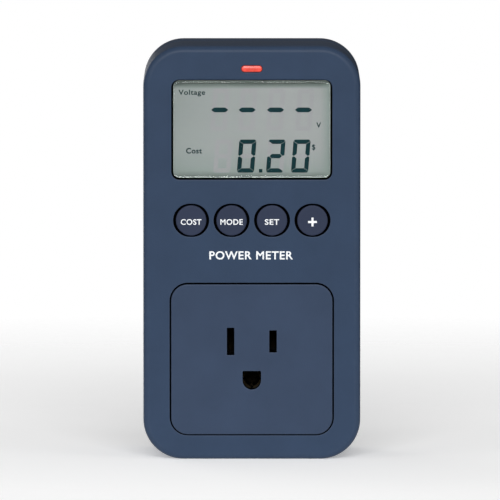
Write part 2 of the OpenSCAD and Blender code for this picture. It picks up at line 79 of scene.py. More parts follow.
# Planes and middles taken from the frame
COVER_LOW, COVER_HIGH = box_mm("front_cover")
REAR_LOW, REAR_HIGH = box_mm("rear_cover")
PANEL_LOW, PANEL_HIGH = box_mm("socket_panel")
LENS_LOW, LENS_HIGH = box_mm("display_lens")
LCD_LOW, LCD_HIGH = box_mm("lcd_front_glass")
FRONT_Y = COVER_LOW.y
PART_Y = COVER_HIGH.y
BACK_Y = REAR_HIGH.y
MID_Z = (COVER_LOW.z + COVER_HIGH.z) / 2
BODY_W = COVER_HIGH.x - COVER_LOW.x
BODY_H = COVER_HIGH.z - COVER_LOW.z
KEYS = ("cost", "mode", "set", "plus")

# Housing
WALL = 2.2
FRONT_WALL = 2.4
INNER_Y = FRONT_Y + FRONT_WALL
FLOOR_Y = BACK_Y - 2.4
CORNER_R = 12
GROOVE = 0.5
LIP = 1.1
LIP_GAP = 0.2
ROOT = 0.5  # depth to which a post or rib runs into the wall that carries it
FLAT = 0.3  # width of the flat band beside each rounded edge, which keeps the shading of the face even

# Posts and ribs inside the housing
FRONT_POST = 5.6  # length of the posts that carry the display board
DISPLAY_POSTS = [(x, z) for x in (-28, 28) for z in (31.5, 66)]
DISPLAY_POST_D = 4.4
POWER_POSTS = [(x, z) for x in (-22, 22) for z in (27, 73)]
POWER_POST_Y = -7.4
BLOCK_POSTS = [(x, -4.5) for x in (-17.2, 17.2)]
BLOCK_POST_Y = -7
REAR_POST_D = 4.8
KEY_RIB = (52, 1)  # length and thickness of the ribs above and below the row of keys
KEY_RIB_REACH = 6.6
KEY_RIB_DEPTH = 1.4

# Display and indicator
LENS_GAP = (0.58, 0.45)  # at its sides, and above and below it
LENS_REST = 0.15  # the lens sits high in its opening
LENS_R = 1.8
LENS_FLANGE = (1.8, 1.2)
LENS_MID_Z = (LENS_LOW.z + LENS_HIGH.z) / 2
LENS_W = LENS_HIGH.x - LENS_LOW.x - 2 * LENS_FLANGE[0]
LENS_H = LENS_HIGH.z - LENS_LOW.z - 2 * LENS_FLANGE[1]
INDICATOR_Z = 81.8
INDICATOR_W = 6.2
INDICATOR_H = 1.9
INDICATOR_GAP = 0.1
INDICATOR_FLANGE = (8.4, 3.2)  # width and height
INDICATOR_STEM = (5, 1.8)

# Print on the housing, the keys and the display
INK = 0.02
SHORT_STEP = 0.004  # shorter steps in a letter's outline are closed, in letter heights
BOLDNESS = 0.02  # how far a letter's outline moves outwards, in letter heights
LETTER_SPACING = 1.1

# What the display shows. A digit is its left edge, foot, width, height and stroke.
READING = "020"
SEGMENT_T = 0.02
SEGMENT_GAP = 0.12
DIGIT_LEAN = math.radians(4.5)
TOP_DIGITS = [(x, 63.1, 4.9, 12.6, 1.35) for x in (-12.5, -4.15, 4.25, 12.9)]
LOWER_DIGITS = [(x, 50.55, 5.15, 9.9, 1.3) for x in (-11.6, -4.5, 4.2, 11.7)]
DASH_XS = (-9.6, -1.4, 7.1, 15.45)
DASH_Z = 69.35
DECIMAL_POINT = (2.65, 51.1)
DECIMAL_POINT_W = 1.05

# Words with their middle, width and height. The last value of a legend is its boldness.
LEGENDS = (("Voltage", -17.95, 74.4, 8.0, 2.0, 0.02), ("Cost", -17.3, 57.1, 4.75, 1.7, 0.027),
           ("V", 20.0, 64.8, 1.4, 1.55, 0.028), ("$", 18.5, 58.1, 1.05, 1.85, 0.018))
CAPTION = ("POWER METER", -0.2, 25.9, 25.0, 2.5)

# Keys
KEY_D = 9.1
KEY_HOLE_D = 9.9
KEY_HOLE_SPREAD = 0.42
KEY_PROUD = 0.6
KEY_FACE_Y = FRONT_Y - KEY_PROUD + INK  # the print on it is what stands proud the furthest
KEY_FLANGE_Y = INNER_Y + 0.1
KEY_FLANGE_T = 0.8
KEY_STEM_D = 4.4
KEY_WORD_DROP = 0.45  # the words stand a little below the middle of their keys
# Word on each key, with its width and height
KEY_WORDS = {"cost": ("COST", 6.2, 1.72), "mode": ("MODE", 6.7, 1.72), "set": ("SET", 4.3, 1.72),
             "plus": ("+", 2.65, 2.65)}

# Outlet
PANEL_MID_Z = (PANEL_LOW.z + PANEL_HIGH.z) / 2
PANEL_FLANGE = 1.8
PANEL_W = PANEL_HIGH.x - PANEL_LOW.x - 2 * PANEL_FLANGE
PANEL_H = PANEL_HIGH.z - PANEL_LOW.z - 2 * PANEL_FLANGE
PANEL_R = 5
PANEL_GAP = 0.45
PANEL_REST = 0.12  # the panel rests on the lower edge of its opening
PANEL_Y = PANEL_LOW.y
PANEL_POST_X = 20.5
PANEL_POST = (5.4, 5.2)  # length and diameter
FLANGE_BACK = INNER_Y + 2
SLOT_X = 6.35
SLOT_W = 2.2
LINE_SLOT_H = 6.6
NEUTRAL_SLOT_H = 8.2

# Plug
PIN_Z = -11.89
PIN_D = 4.75
PIN_HOLE_D = 6
PIN_STRAIGHT = 18.2
COLLAR_D = 7.4
PIN_BASE_D = 5.6
SHOULDER_Y = -9  # where the blades and the pin widen inside the housing
BLADE_HOLE_W = 1.8
LINE_HOLE_H = 6.65
NEUTRAL_HOLE_H = 8.2
BLADE_STEP = 1.05  # how much wider a blade is behind its shoulder, on each side
BLADE_BEVEL = 1.3
TIP_HOLE_Y = 11.7
TIP_HOLE_D = 3.1

# Case screws
SCREW_LOW, SCREW_HIGH = box_mm("case_screws")
SCREW_HEAD_D = 5.4
SCREW_HEAD_Y = -10
SCREW_X = SCREW_HIGH.x - SCREW_HEAD_D / 2
SCREW_ZS = (SCREW_LOW.z + SCREW_HEAD_D / 2, SCREW_HIGH.z - SCREW_HEAD_D / 2)
SCREW_PLACES = [(x, z) for x in (-SCREW_X, SCREW_X) for z in SCREW_ZS]
SCREW_PITCH = 1.1
SCREW_WELL_D = SCREW_HEAD_D + 0.4
SCREW_SHANK_HOLE_D = 3.3
SCREW_COLUMN_D = 7.4
SCREW_POST_D = 6.4

# Rating label
LABEL_R = 1.5
LABEL_SEAT = 0.3
LABEL_SUNK = 0.03
BORDER_INSET = 2.4
RULE_INSET = 7
RULE_PITCH = 4.4
RULE_W = 0.22

# Point of the front plane that the camera looks at
VIEW_X = -0.54
VIEW_Z = 27.5

# Second material of a moulded piece: near-black plastic on its inner surfaces, painted shade for the
# hollows and gaps where little light reaches
PAINTED_SHADE = 1


# ---- Settings a user would change ----


class MeterColours(bpy.types.PropertyGroup):
    """Colours of the visible materials"""

    housing: FloatVectorProperty(
        name="Housing", description="Navy plastic of the covers", subtype="COLOR",
        default=(0.0262, 0.0469, 0.0894), min=0, max=1)
    panel: FloatVectorProperty(
        name="Socket panel", description="Navy plastic of the socket panel", subtype="COLOR",
        default=(0.031, 0.05, 0.0916), min=0, max=1)
    keys: FloatVectorProperty(
        name="Keys", description="Grey blue plastic of the push buttons", subtype="COLOR",
        default=(0.0246, 0.0337, 0.0644), min=0, max=1)
    ink: FloatVectorProperty(
        name="Print", description="White print on the housing and the keys", subtype="COLOR",
        default=(0.84, 0.86, 0.88), min=0, max=1)
    display: FloatVectorProperty(
        name="Display", description="Grey of the display's film", subtype="COLOR",
        default=(0.211, 0.212, 0.2155), min=0, max=1)
    segments: FloatVectorProperty(
        name="Segments", description="Dark teal of the lit segments", subtype="COLOR",
        default=(0.001, 0.016, 0.02), min=0, max=1)
    indicator: FloatVectorProperty(
        name="Indicator", description="Coral red of the indicator lens", subtype="COLOR",
        default=(0.8, 0.075, 0.052), min=0, max=1)


class MeterEdges(bpy.types.PropertyGroup):
    """Rounding of the edges"""

    body: FloatProperty(
        name="Housing edge", description="Rounding of the front and rear edges of the housing",
        default=0.0018, min=0.001, max=0.002, unit="LENGTH")
    opening: FloatProperty(
        name="Opening edge", description="Rounding of the openings' edges",
        default=0.00014, min=0.0001, max=0.0003, unit="LENGTH")
    lens: FloatProperty(
        name="Lens edge", description="Rounding of the display lens",
        default=0.0005, min=0.0002, max=0.0007, unit="LENGTH")
    key: FloatProperty(
        name="Key edge", description="Rounding of a key's face",
        default=0.0003, min=0.0002, max=0.0006, unit="LENGTH")


class MeterStage(bpy.types.PropertyGroup):
    """Camera and light"""

    elevation: FloatProperty(
        name="Elevation", description="Height of the camera above the horizon",
        default=math.radians(4.7), min=0, max=math.radians(90), subtype="ANGLE")
    lens: FloatProperty(
        name="Focal length", description="Focal length in millimetres, long as for a product picture",
        default=800, min=50, max=1000)
    width: FloatProperty(
        name="View width", description="Width of the view at the front face",
        default=0.1496, min=0.1, max=0.4, unit="LENGTH")
    key_power: FloatProperty(
        name="Front light", description="Power of the soft box above the camera",
        default=19, min=0, max=200, unit="POWER")
    side_power: FloatProperty(
        name="Side lights", description="Power of each upright soft box",
        default=2.7, min=0, max=200, unit="POWER")
    back_power: FloatProperty(
        name="Back light", description="Power of the soft box behind the meter",
        default=6, min=0, max=200, unit="POWER")


# ---- Outlines, as points in the plane of a face, anticlockwise ----


def arc(x, z, radius, start, end, steps):
    """Points along an arc between two angles in degrees, both ends included."""
    turns = [math.radians(start + (end - start) * i / steps) for i in range(steps + 1)]
    return [Vector((x + radius * math.cos(t), z + radius * math.sin(t))) for t in turns]


def round_rect(x, z, w, h, r, steps=6):
    """Rectangle with round corners."""
    points = []
    for sx, sz, start in ((1, 1, 0), (-1, 1, 90), (-1, -1, 180), (1, -1, 270)):
        points += arc(x + sx * (w / 2 - r), z + sz * (h / 2 - r), r, start, start + 90, steps)
    return points


def circle(x, z, d, steps=48):
    """Full circle."""
    return arc(x, z, d / 2, 0, 360, steps)[:-1]


def capsule(x, z, w, h, steps=16):
    """Bar with fully round ends."""
    reach = (w - h) / 2
    return arc(x + reach, z, h / 2, -90, 90, steps) + arc(x - reach, z, h / 2, 90, 270, steps)


def ground_hole():
    """Ground hole: round below, flat above with barely rounded corners."""
    radius = 2.75
    middle = -11.7
    top = -8.9
    corner = 0.35
    points = arc(radius - corner, top - corner, corner, 0, 90, 4)
    points += arc(corner - radius, top - corner, corner, 90, 180, 4)
    points += arc(0, middle, radius, 180, 360, 28)
    return points


def drawn_in(points, margin):
    """The outline moved inwards by a margin. A negative margin moves it outwards."""
    moved = []
    for i, here in enumerate(points):
        before = (here - points[i - 1]).normalized()
        after = (points[(i + 1) % len(points)] - here).normalized()
        middle = (before + after).normalized()
        spread = max(before.dot(middle), 0.3)
        moved.append(here + Vector((-middle.y, middle.x)) * (margin / spread))
    return moved


# ---- Walls and faces swept from outlines ----


def upright(point, depth):
    """Puts an outline drawn in X and Z at a depth along Y."""
    return point.x, depth, point.y


def edgewise(point, depth):
    """Puts an outline drawn in Y and Z at a depth along X."""
    return depth, point.x, point.y


def quarter(start, end, steps=5, depth_first=True):
    """Quarter round in a profile from one (margin, depth) to another."""
    profile = []
    for i in range(steps + 1):
        turn = math.radians(90) * i / steps
        rise, run = math.sin(turn), 1 - math.cos(turn)
        if depth_first:
            rise, run = run, rise
        profile.append((start[0] + (end[0] - start[0]) * rise, start[1] + (end[1] - start[1]) * run))
    return profile


def ring(bm, outline, margin, depth, place=upright):
    """Loop of points along an outline moved in by a margin."""
    return [bm.verts.new(place(p, depth)) for p in drawn_in(outline, margin)]


def join(bm, a, b, material=0):
    """Wall between two rings with the same number of points."""
    for i in range(len(a)):
        face = bm.faces.new((a[i - 1], a[i], b[i], b[i - 1]))
        face.material_index = material


def sweep(bm, outline, profile, place=upright, material=0):
    """Walls along an outline through each (margin, depth) of a profile. Gives the first and last ring."""
    rings = [ring(bm, outline, margin, depth, place) for margin, depth in profile]
    for a, b in zip(rings, rings[1:]):
        join(bm, a, b, material)
    return rings[0], rings[-1]


def fill(bm, *rings, material=0):
    """Flat face between an outer ring and any inner ones."""
    edges = []
    for points in rings:
        for i in range(len(points)):
            pair = (points[i - 1], points[i])
            edges.append(bm.edges.get(pair) or bm.edges.new(pair))
    made = bmesh.ops.triangle_fill(bm, use_beauty=True, use_dissolve=False, edges=edges)
    for face in made["geom"]:
        if isinstance(face, bmesh.types.BMFace):
            face.material_index = material


def solid(bm, outline, profile, place=upright, material=0):
    """Closed body swept along an outline."""
    first, last = sweep(bm, outline, profile, place, material)
    fill(bm, first, material=material)
    fill(bm, last, material=material)


def post(bm, x, z, y0, y1, d, material=0):
    """Round post with softened ends."""
    soft = 0.2
    solid(bm, circle(x, z, d, 32),
          [(soft + FLAT, y0), (soft, y0), (0, y0 + soft), (0, y1 - soft), (soft, y1), (soft + FLAT, y1)],
          material=material)


def opening(bm, outline, edge, y0, y1, lit=0.1):
    """Hole with a rounded edge, from the face y0 to the plane y1. Past the lit depth its wall takes the
    near-black second material, painted shade for the hole's depth.
    """
    inward = 1 if y1 > y0 else -1
    profile = [(-edge - FLAT, y0)]
    profile += quarter((-edge, y0), (0, y0 + inward * edge), 4, depth_first=False)
    profile.append((0, y0 + inward * (edge + lit)))
    first, middle = sweep(bm, outline, profile)
    last = ring(bm, outline, 0, y1)
    # Deeper wall in the near-black material: painted shade.
    join(bm, middle, last, PAINTED_SHADE)
    return first, last


# ---- Pieces ----


def mark_edges(bm):
    """Stores how sharply the surface bends outwards at each point, for the polish along the edges."""
    layer = bm.verts.layers.float.new("edge")
    full = math.radians(14)
    for vert in bm.verts:
        bends = [e.calc_face_angle_signed(0) for e in vert.link_edges if len(e.link_faces) == 2]
        vert[layer] = min(max(bends + [0]) / full, 1)


def piece(bm, name, body, materials, replaces=()):
    """Turns a mesh in millimetres into a finished piece that rides on a body of the frame."""
    bmesh.ops.recalc_face_normals(bm, faces=bm.faces)
    mark_edges(bm)
    bmesh.ops.scale(bm, vec=(MM, MM, MM), verts=bm.verts)
    mesh = bpy.data.meshes.new(name)
    bm.to_mesh(mesh)
    bm.free()
    mesh.shade_smooth()
    mesh.set_sharp_from_angle(angle=math.radians(35))
    for material in materials:
        mesh.materials.append(MATERIALS[material])
    made = bpy.data.objects.new(name, mesh)
    bpy.context.scene.collection.objects.link(made)
    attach(made, body)
    if replaces:
        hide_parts(*replaces)
    return made


# ---- Materials ----


def blank(name):
    """New material with its shader and output."""
    material = bpy.data.materials.new(name)
    material.use_nodes = True
    return material


def shader(material):
    return material.node_tree.nodes["Principled BSDF"]


def add(material, kind, inputs=None, **settings):
    """Adds a node to a material. An input is a value or another node's output."""
    node = material.node_tree.nodes.new(kind)
    for key, value in settings.items():
        setattr(node, key, value)
    connect(material, node, inputs or {})
    return node


def connect(material, node, inputs):
    """Sets a node's inputs to values, or links them to other nodes' outputs."""
    for key, value in inputs.items():
        if isinstance(value, bpy.types.NodeSocket):
            material.node_tree.links.new(value, node.inputs[key])
        else:
            node.inputs[key].default_value = value


def spread_out(material, value, low, high, start=0.3, end=0.7):
    """Maps a noise value to a range."""
    return add(material, "ShaderNodeMapRange", {
        "Value": value, "From Min": start, "From Max": end, "To Min": low, "To Max": high,
    }).outputs["Result"]


def blend_colours(material, factor, a, b):
    """Mixes two colours: a where the factor is 0, b where it is 1."""
    node = add(material, "ShaderNodeMix", data_type="RGBA")
    connect(material, node, {"Factor": factor})
    for socket, value in ((node.inputs[6], a), (node.inputs[7], b)):
        if isinstance(value, bpy.types.NodeSocket):
            material.node_tree.links.new(value, socket)
        else:
            socket.default_value = value
    return node.outputs[2]


def scaled(colour, factor):
    """A colour made lighter or darker, with full opacity."""
    return tuple(min(c * factor, 1) for c in colour[:3]) + (1,)


def noise(material, place, size_mm, detail=3, stretch=None):
    """Noise whose features are about size_mm across."""
    if stretch:
        place = add(material, "ShaderNodeMapping", {"Vector": place, "Scale": stretch}).outputs["Vector"]
    return add(material, "ShaderNodeTexNoise", {
        "Vector": place, "Scale": 1 / (size_mm * MM), "Detail": detail, "Roughness": 0.6,
    }).outputs["Fac"]


def bump(material, height, depth_mm, strength=1.0, normal=None):
    """Relief of a depth in millimetres, on top of another relief if one is given."""
    inputs = {"Height": height, "Distance": depth_mm * MM, "Strength": strength}
    if normal:
        inputs["Normal"] = normal
    return add(material, "ShaderNodeBump", inputs).outputs["Normal"]


def moulded(name, colour, roughness=0.5, grain=0.3, relief=0.02, variation=0.06, polish=0.05,
            specular=0.12):
    """Moulded plastic: spark-textured grain, cloudy gloss, and edges that handling has polished."""
    material = blank(name)
    place = add(material, "ShaderNodeTexCoord").outputs["Object"]
    clouds = noise(material, place, 14, 4)
    fine = noise(material, place, 1.1, 3)
    tint = blend_colours(material, spread_out(material, clouds, 0, 1), scaled(colour, 1 - variation),
                         scaled(colour, 1 + variation))
    edge = add(material, "ShaderNodeAttribute", attribute_name="edge").outputs["Fac"]
    rubbed = add(material, "ShaderNodeMath", {0: edge, 1: spread_out(material, fine, 0.35, 1)},
                 operation="MULTIPLY").outputs[0]
    worn = blend_colours(material, spread_out(material, rubbed, 0, polish, 0, 1), tint,
                         scaled([c * 0.6 + 0.25 for c in colour[:3]], 1))
    gloss = spread_out(material, fine, roughness - 0.05, roughness + 0.05)
    gloss = add(material, "ShaderNodeMath", {0: gloss, 1: spread_out(material, rubbed, 0, 0.12, 0, 1)},
                operation="SUBTRACT").outputs[0]
    sparks = add(material, "ShaderNodeTexVoronoi", {"Vector": place, "Scale": 1 / (grain * MM)},
                 feature="SMOOTH_F1").outputs["Distance"]
    pits = noise(material, place, grain * 0.7, 2)
    normal = bump(material, pits, relief, 0.6, bump(material, sparks, relief, 0.6))
    connect(material, shader(material), {
        "Base Color": worn, "Roughness": gloss, "Normal": normal, "Specular IOR Level": specular,
    })
    return material


def metal(name, colour, roughness=0.3, stretch=(1, 1, 8), scratch=0.004, tarnish=0.25):
    """Rolled or plated metal: fine scratches along the rolling direction and patches of tarnish."""
    material = blank(name)
    place = add(material, "ShaderNodeTexCoord").outputs["Object"]
    patches = noise(material, place, 5, 4)
    scratches = noise(material, place, 0.5, 2, stretch)
    tint = blend_colours(material, spread_out(material, patches, 0, 1), scaled(colour, 1 - tarnish),
                         scaled(colour, 1))
    gloss = add(material, "ShaderNodeMath", {
        0: spread_out(material, patches, roughness + 0.1, roughness - 0.04),
        1: spread_out(material, scratches, -0.06, 0.06)}, operation="ADD").outputs[0]
    connect(material, shader(material), {
        "Base Color": tint, "Roughness": gloss, "Metallic": 1.0,
        "Normal": bump(material, scratches, scratch, 0.8),
    })
    return material


def clear(name, tint, roughness=0.005):
    """Clear moulding or glass with faint waves and duller edges, through which light passes straight."""
    material = blank(name)
    place = add(material, "ShaderNodeTexCoord").outputs["Object"]
    film = spread_out(material, noise(material, place, 6, 3), roughness, roughness + 0.015)
    edge = add(material, "ShaderNodeAttribute", attribute_name="edge").outputs["Fac"]
    film = add(material, "ShaderNodeMath", {0: film, 1: spread_out(material, edge, 0, 0.04, 0, 1)},
               operation="ADD").outputs[0]
    waves = bump(material, noise(material, place, 9, 1), 0.002, 0.3)
    glass = shader(material)
    connect(material, glass, {
        "Base Color": scaled(tint, 1), "Roughness": film, "Normal": waves, "IOR": 1.46,
        "Transmission Weight": 1.0,
    })
    passing = add(material, "ShaderNodeBsdfTransparent", {"Color": scaled(tint, 1)})
    path = add(material, "ShaderNodeLightPath")
    mixed = add(material, "ShaderNodeMixShader", {
        "Fac": path.outputs["Is Shadow Ray"], 1: glass.outputs["BSDF"], 2: passing.outputs["BSDF"]})
    connect(material, material.node_tree.nodes["Material Output"], {"Surface": mixed.outputs["Shader"]})
    return material


def display_film(name, colour):
    """Grey film of the display: satin, darker and greener to the left and towards the bottom, with
    painted shade in bands along its top, bottom and right edges, where the window's walls would shadow
    it.
    """
    material = blank(name)
    place = add(material, "ShaderNodeTexCoord").outputs["Object"]
    parts = add(material, "ShaderNodeSeparateXYZ", {"Vector": place})
    across, height = parts.outputs["X"], parts.outputs["Z"]
    green = scaled((colour[0] * 0.66, colour[1] * 0.8, colour[2] * 0.74), 1)
    clouds = noise(material, place, 11, 3)
    tint = blend_colours(material, spread_out(material, clouds, 0, 1), scaled(colour, 0.98),
                         scaled(colour, 1.02))
    tint = blend_colours(material, spread_out(material, across, 0.3, 0, -0.022, 0.012), tint, green)
    low_edge = (LENS_MID_Z - LENS_H / 2) * MM
    top_edge = (LENS_MID_Z + LENS_H / 2) * MM
    lower = spread_out(material, height, 0.55, 0, low_edge, low_edge + 0.009)
    tint = blend_colours(material, lower, tint, green)
    # Painted shadow of the window's top edge: a dark band just under the top of the film.
    shade = spread_out(material, height, 0, 0.9, top_edge - 0.0026, top_edge - 0.0015)
    tint = blend_colours(material, shade, tint, scaled(green, 0.6))
    # Painted shade: a weaker dark band just above the bottom of the film.
    shade = spread_out(material, height, 0.65, 0, low_edge + 0.0005, low_edge + 0.0018)
    tint = blend_colours(material, shade, tint, scaled(green, 0.6))
    # Painted shade along the right edge, where the window's side wall would shadow the film.
    tint = blend_colours(material, spread_out(material, across, 0, 1, 0.0205, 0.024), tint, green)
    speck = noise(material, place, 0.18, 2)
    connect(material, shader(material), {
        "Base Color": tint, "Roughness": spread_out(material, speck, 0.42, 0.5),
        "Normal": bump(material, speck, 0.003, 0.4), "Specular IOR Level": 0.05,
    })
    return material


def printed(name, colour, roughness=0.45, specular=0.3):
    """Screen-printed ink: nearly even, with pinholes and soft variation in its cover."""
    material = blank(name)
    place = add(material, "ShaderNodeTexCoord").outputs["Object"]
    cover = noise(material, place, 0.35, 3)
    tint = blend_colours(material, spread_out(material, cover, 0, 1), scaled(colour, 0.93),
                         scaled(colour, 1.02))
    connect(material, shader(material), {
        "Base Color": tint, "Roughness": spread_out(material, cover, roughness - 0.05, roughness + 0.08),
        "Normal": bump(material, cover, 0.004, 0.4), "Specular IOR Level": specular,
    })
    return material


def glowing(name, colour):
    """Coral moulding of the indicator: glossy, lit faintly from behind, and duller in its middle."""
    material = blank(name)
    place = add(material, "ShaderNodeTexCoord").outputs["Object"]
    across = add(material, "ShaderNodeSeparateXYZ", {"Vector": place}).outputs["X"]
    away = add(material, "ShaderNodeMath", {0: across}, operation="ABSOLUTE").outputs[0]
    clouds = noise(material, place, 1.4, 3)
    middle = spread_out(material, away, 0, 1, 0.0004, 0.002)
    tint = blend_colours(material, middle, scaled(colour, 0.82), scaled(colour, 1.0))
    tint = blend_colours(material, spread_out(material, clouds, 0, 0.25), tint, scaled(colour, 0.9))
    connect(material, shader(material), {
        "Base Color": tint, "Roughness": spread_out(material, clouds, 0.22, 0.32),
        "Emission Color": scaled(colour, 1), "Emission Strength": 0.08,
        "Normal": bump(material, clouds, 0.004, 0.4),
    })
    return material


def board(name, colour):
    """Printed circuit board: solder resist over a hatch of tracks."""
    material = blank(name)
    place = add(material, "ShaderNodeTexCoord").outputs["Object"]
    tracks = add(material, "ShaderNodeTexBrick", {
        "Vector": add(material, "ShaderNodeMapping", {
            "Vector": place, "Rotation": (math.radians(90), 0, 0)}).outputs["Vector"],
        "Scale": 420.0, "Mortar Size": 0.12, "Color1": scaled(colour, 0.85),
        "Color2": scaled(colour, 1.05), "Mortar": scaled(colour, 1.5)})
    weave = noise(material, place, 0.4, 2)
    tint = blend_colours(material, spread_out(material, weave, 0, 0.3), tracks.outputs["Color"],
                         scaled(colour, 0.8))
    connect(material, shader(material), {
        "Base Color": tint, "Roughness": spread_out(material, weave, 0.3, 0.42),
        "Normal": bump(material, tracks.outputs["Fac"], 0.02, 0.5),
    })
    return material


def colour_setting(name):
    """Colour that the user has set."""
    return tuple(getattr(bpy.context.scene.meter_colours, name))


def ghost_colour(display):
    """Colour of the unlit segments, a trace darker and more violet than the film."""
    return display[0], display[1] * 0.96, display[2]


def make_materials():
    """One material for each slot of the record, and those of the print and the display."""
    return {
        "housing": moulded("navy_housing", colour_setting("housing"), 0.46),
        # Near-black plastic for inner walls, gaps and hidden sides: painted shade.
        "inner": moulded("black_inner_plastic", (0.001, 0.0011, 0.0014), 0.8, polish=0, specular=0.02),
        "socket_panel": moulded("navy_panel", colour_setting("panel"), 0.44),
        "keys": moulded("key_plastic", colour_setting("keys"), 0.5, grain=0.22, relief=0.012,
                        polish=0.01),
        "ink": printed("white_print", colour_setting("ink")),
        "lens": clear("clear_lens", (0.96, 0.985, 0.97)),
        "indicator": glowing("coral_indicator", colour_setting("indicator")),
        "screw_steel": metal("zinc_plated_steel", (0.56, 0.57, 0.6), 0.32),
        "label": printed("silver_label_film", (0.42, 0.43, 0.45), 0.35),
        "label_ink": printed("label_rules", (0.03, 0.035, 0.045), 0.5),
        "switch": moulded("black_switch", (0.016, 0.016, 0.018), 0.42),
        "display_glass": clear("display_glass", (0.86, 0.9, 0.87)),
        "film": display_film("display_film", colour_setting("display")),
        "segments": printed("lit_segments", colour_setting("segments"), 0.5, 0.04),
        "ghosts": printed("unlit_segments", ghost_colour(colour_setting("display")), 0.5, 0.04),
        "reflector": printed("reflector_film", (0.4, 0.44, 0.38), 0.4),
        "white_plastic": moulded("white_moulding", (0.7, 0.7, 0.66), 0.45),
        "elastomer": moulded("pink_elastomer", (0.5, 0.12, 0.16), 0.7, relief=0.03),
        "circuit_board": board("green_board", (0.012, 0.1, 0.035)),
        "package": moulded("black_package", (0.012, 0.012, 0.013), 0.55, grain=0.15),
        "led": clear("led_epoxy", (0.95, 0.93, 0.82), 0.1),
        "brass": metal("rolled_brass", (0.74, 0.52, 0.22), 0.26, (1, 6, 1)),
        # Nearly black outlet contacts: painted shade deep inside the slots.
        "contact_alloy": metal("oxidised_contact_alloy", (0.022, 0.017, 0.01), 0.5, (1, 6, 1)),
        "fuse_glass": clear("fuse_glass", (0.94, 0.97, 0.96)),
        "varistor_coat": moulded("blue_epoxy", (0.012, 0.06, 0.24), 0.3, grain=1.2),
        "film_case": moulded("yellow_case", (0.52, 0.33, 0.02), 0.3, grain=0.8),
        "can_sleeve": moulded("dark_sleeve", (0.012, 0.014, 0.035), 0.3, grain=0.9),
        "shunt_alloy": metal("resistance_alloy", (0.5, 0.38, 0.26), 0.4),
        "ribbon": moulded("grey_ribbon", (0.32, 0.32, 0.34), 0.5),
        "insulator": moulded("ivory_insulator", (0.62, 0.58, 0.48), 0.5),
        "dark_insulator": moulded("black_insulator", (0.01, 0.01, 0.011), 0.6),
        "black_wire": moulded("black_insulation", (0.012, 0.012, 0.012), 0.4, grain=0.6),
        "white_wire": moulded("white_insulation", (0.7, 0.7, 0.68), 0.4, grain=0.6),
    }


MATERIALS = {}


# ---- Lettering ----


def word_outline(text):
    """Flat mesh of a word in the built-in sans serif letters, set a little apart."""
    curve = bpy.data.curves.new("word", "FONT")
    curve.body = text
    curve.space_character = LETTER_SPACING
    curve.resolution_u = 6
    holder = bpy.data.objects.new("word", curve)
    bpy.context.scene.collection.objects.link(holder)
    graph = bpy.context.evaluated_depsgraph_get()
    mesh = bpy.data.meshes.new_from_object(holder.evaluated_get(graph))
    flat = bmesh.new()
    flat.from_mesh(mesh)
    bpy.data.objects.remove(holder)
    bpy.data.curves.remove(curve)
    bpy.data.meshes.remove(mesh)
    bmesh.ops.remove_doubles(flat, verts=flat.verts, dist=SHORT_STEP)
    return flat


def embolden(flat, boldness):
    """Moves the outline of flat letters outwards, less far at a sharp corner, and fills it again."""
    outward = {}
    for edge in flat.edges:
        if edge.is_boundary:
            loop = edge.link_loops[0]
            along = (loop.link_loop_next.vert.co - loop.vert.co).normalized()
            for v in edge.verts:
                outward.setdefault(v, []).append(Vector((along.y, -along.x, 0)))
    inner = [edge for edge in flat.edges if not edge.is_boundary]
    bmesh.ops.delete(flat, geom=flat.faces[:], context="FACES_ONLY")
    bmesh.ops.delete(flat, geom=inner, context="EDGES")
    for v, (one, other) in outward.items():
        v.co += (one + other) * boldness / max(1 + one.dot(other), 0.4)
    bmesh.ops.triangle_fill(flat, use_beauty=True, edges=flat.edges[:])


def add_word(bm, text, x, z, width, height, y, thickness=INK, boldness=BOLDNESS):
    """Adds a word, centred on x and z on the plane y and standing out of it towards the front."""
    flat = word_outline(text)
    embolden(flat, boldness)
    low = Vector((min(v.co.x for v in flat.verts), min(v.co.y for v in flat.verts)))
    high = Vector((max(v.co.x for v in flat.verts), max(v.co.y for v in flat.verts)))
    scale_x = width / (high.x - low.x)
    scale_z = height / (high.y - low.y)
    middle = (low + high) / 2
    for v in flat.verts:
        v.co = Vector((x + (v.co.x - middle.x) * scale_x, y, z + (v.co.y - middle.y) * scale_z))
    raised = bmesh.ops.extrude_face_region(flat, geom=flat.faces[:])
    moved = [v for v in raised["geom"] if isinstance(v, bmesh.types.BMVert)]
    bmesh.ops.translate(flat, verts=moved, vec=(0, -thickness, 0))
    bmesh.ops.recalc_face_normals(flat, faces=flat.faces[:])
    copy = bpy.data.meshes.new("word")
    flat.to_mesh(copy)
    flat.free()
    bm.from_mesh(copy)
    bpy.data.meshes.remove(copy)


def add_plate(bm, points, y, thickness):
    """Adds a thin flat shape standing on the plane y."""
    front = [bm.verts.new(upright(p, y - thickness)) for p in points]
    back = [bm.verts.new(upright(p, y)) for p in points]
    join(bm, front, back)
    bm.faces.new(front)
    bm.faces.new(back)


# ---- Operators, one for each piece or group of like pieces ----


class METER_OT_materials(bpy.types.Operator):
    """Makes the materials and puts them on the pieces of the frame"""

    bl_idname = "meter.materials"
    bl_label = "Materials"
    bl_options = {"REGISTER", "UNDO"}

    def execute(self, context):
        MATERIALS.update(make_materials())
        slots = {s["node"]: s["material_slot"] for s in frame["record"]["subparts"]}
        for name, node in frame["nodes"].items():
            if slots.get(name) not in MATERIALS:
                raise RuntimeError("no material for the node " + name)
            node.data.materials.clear()
            node.data.materials.append(MATERIALS[slots[name]])
        return {"FINISHED"}


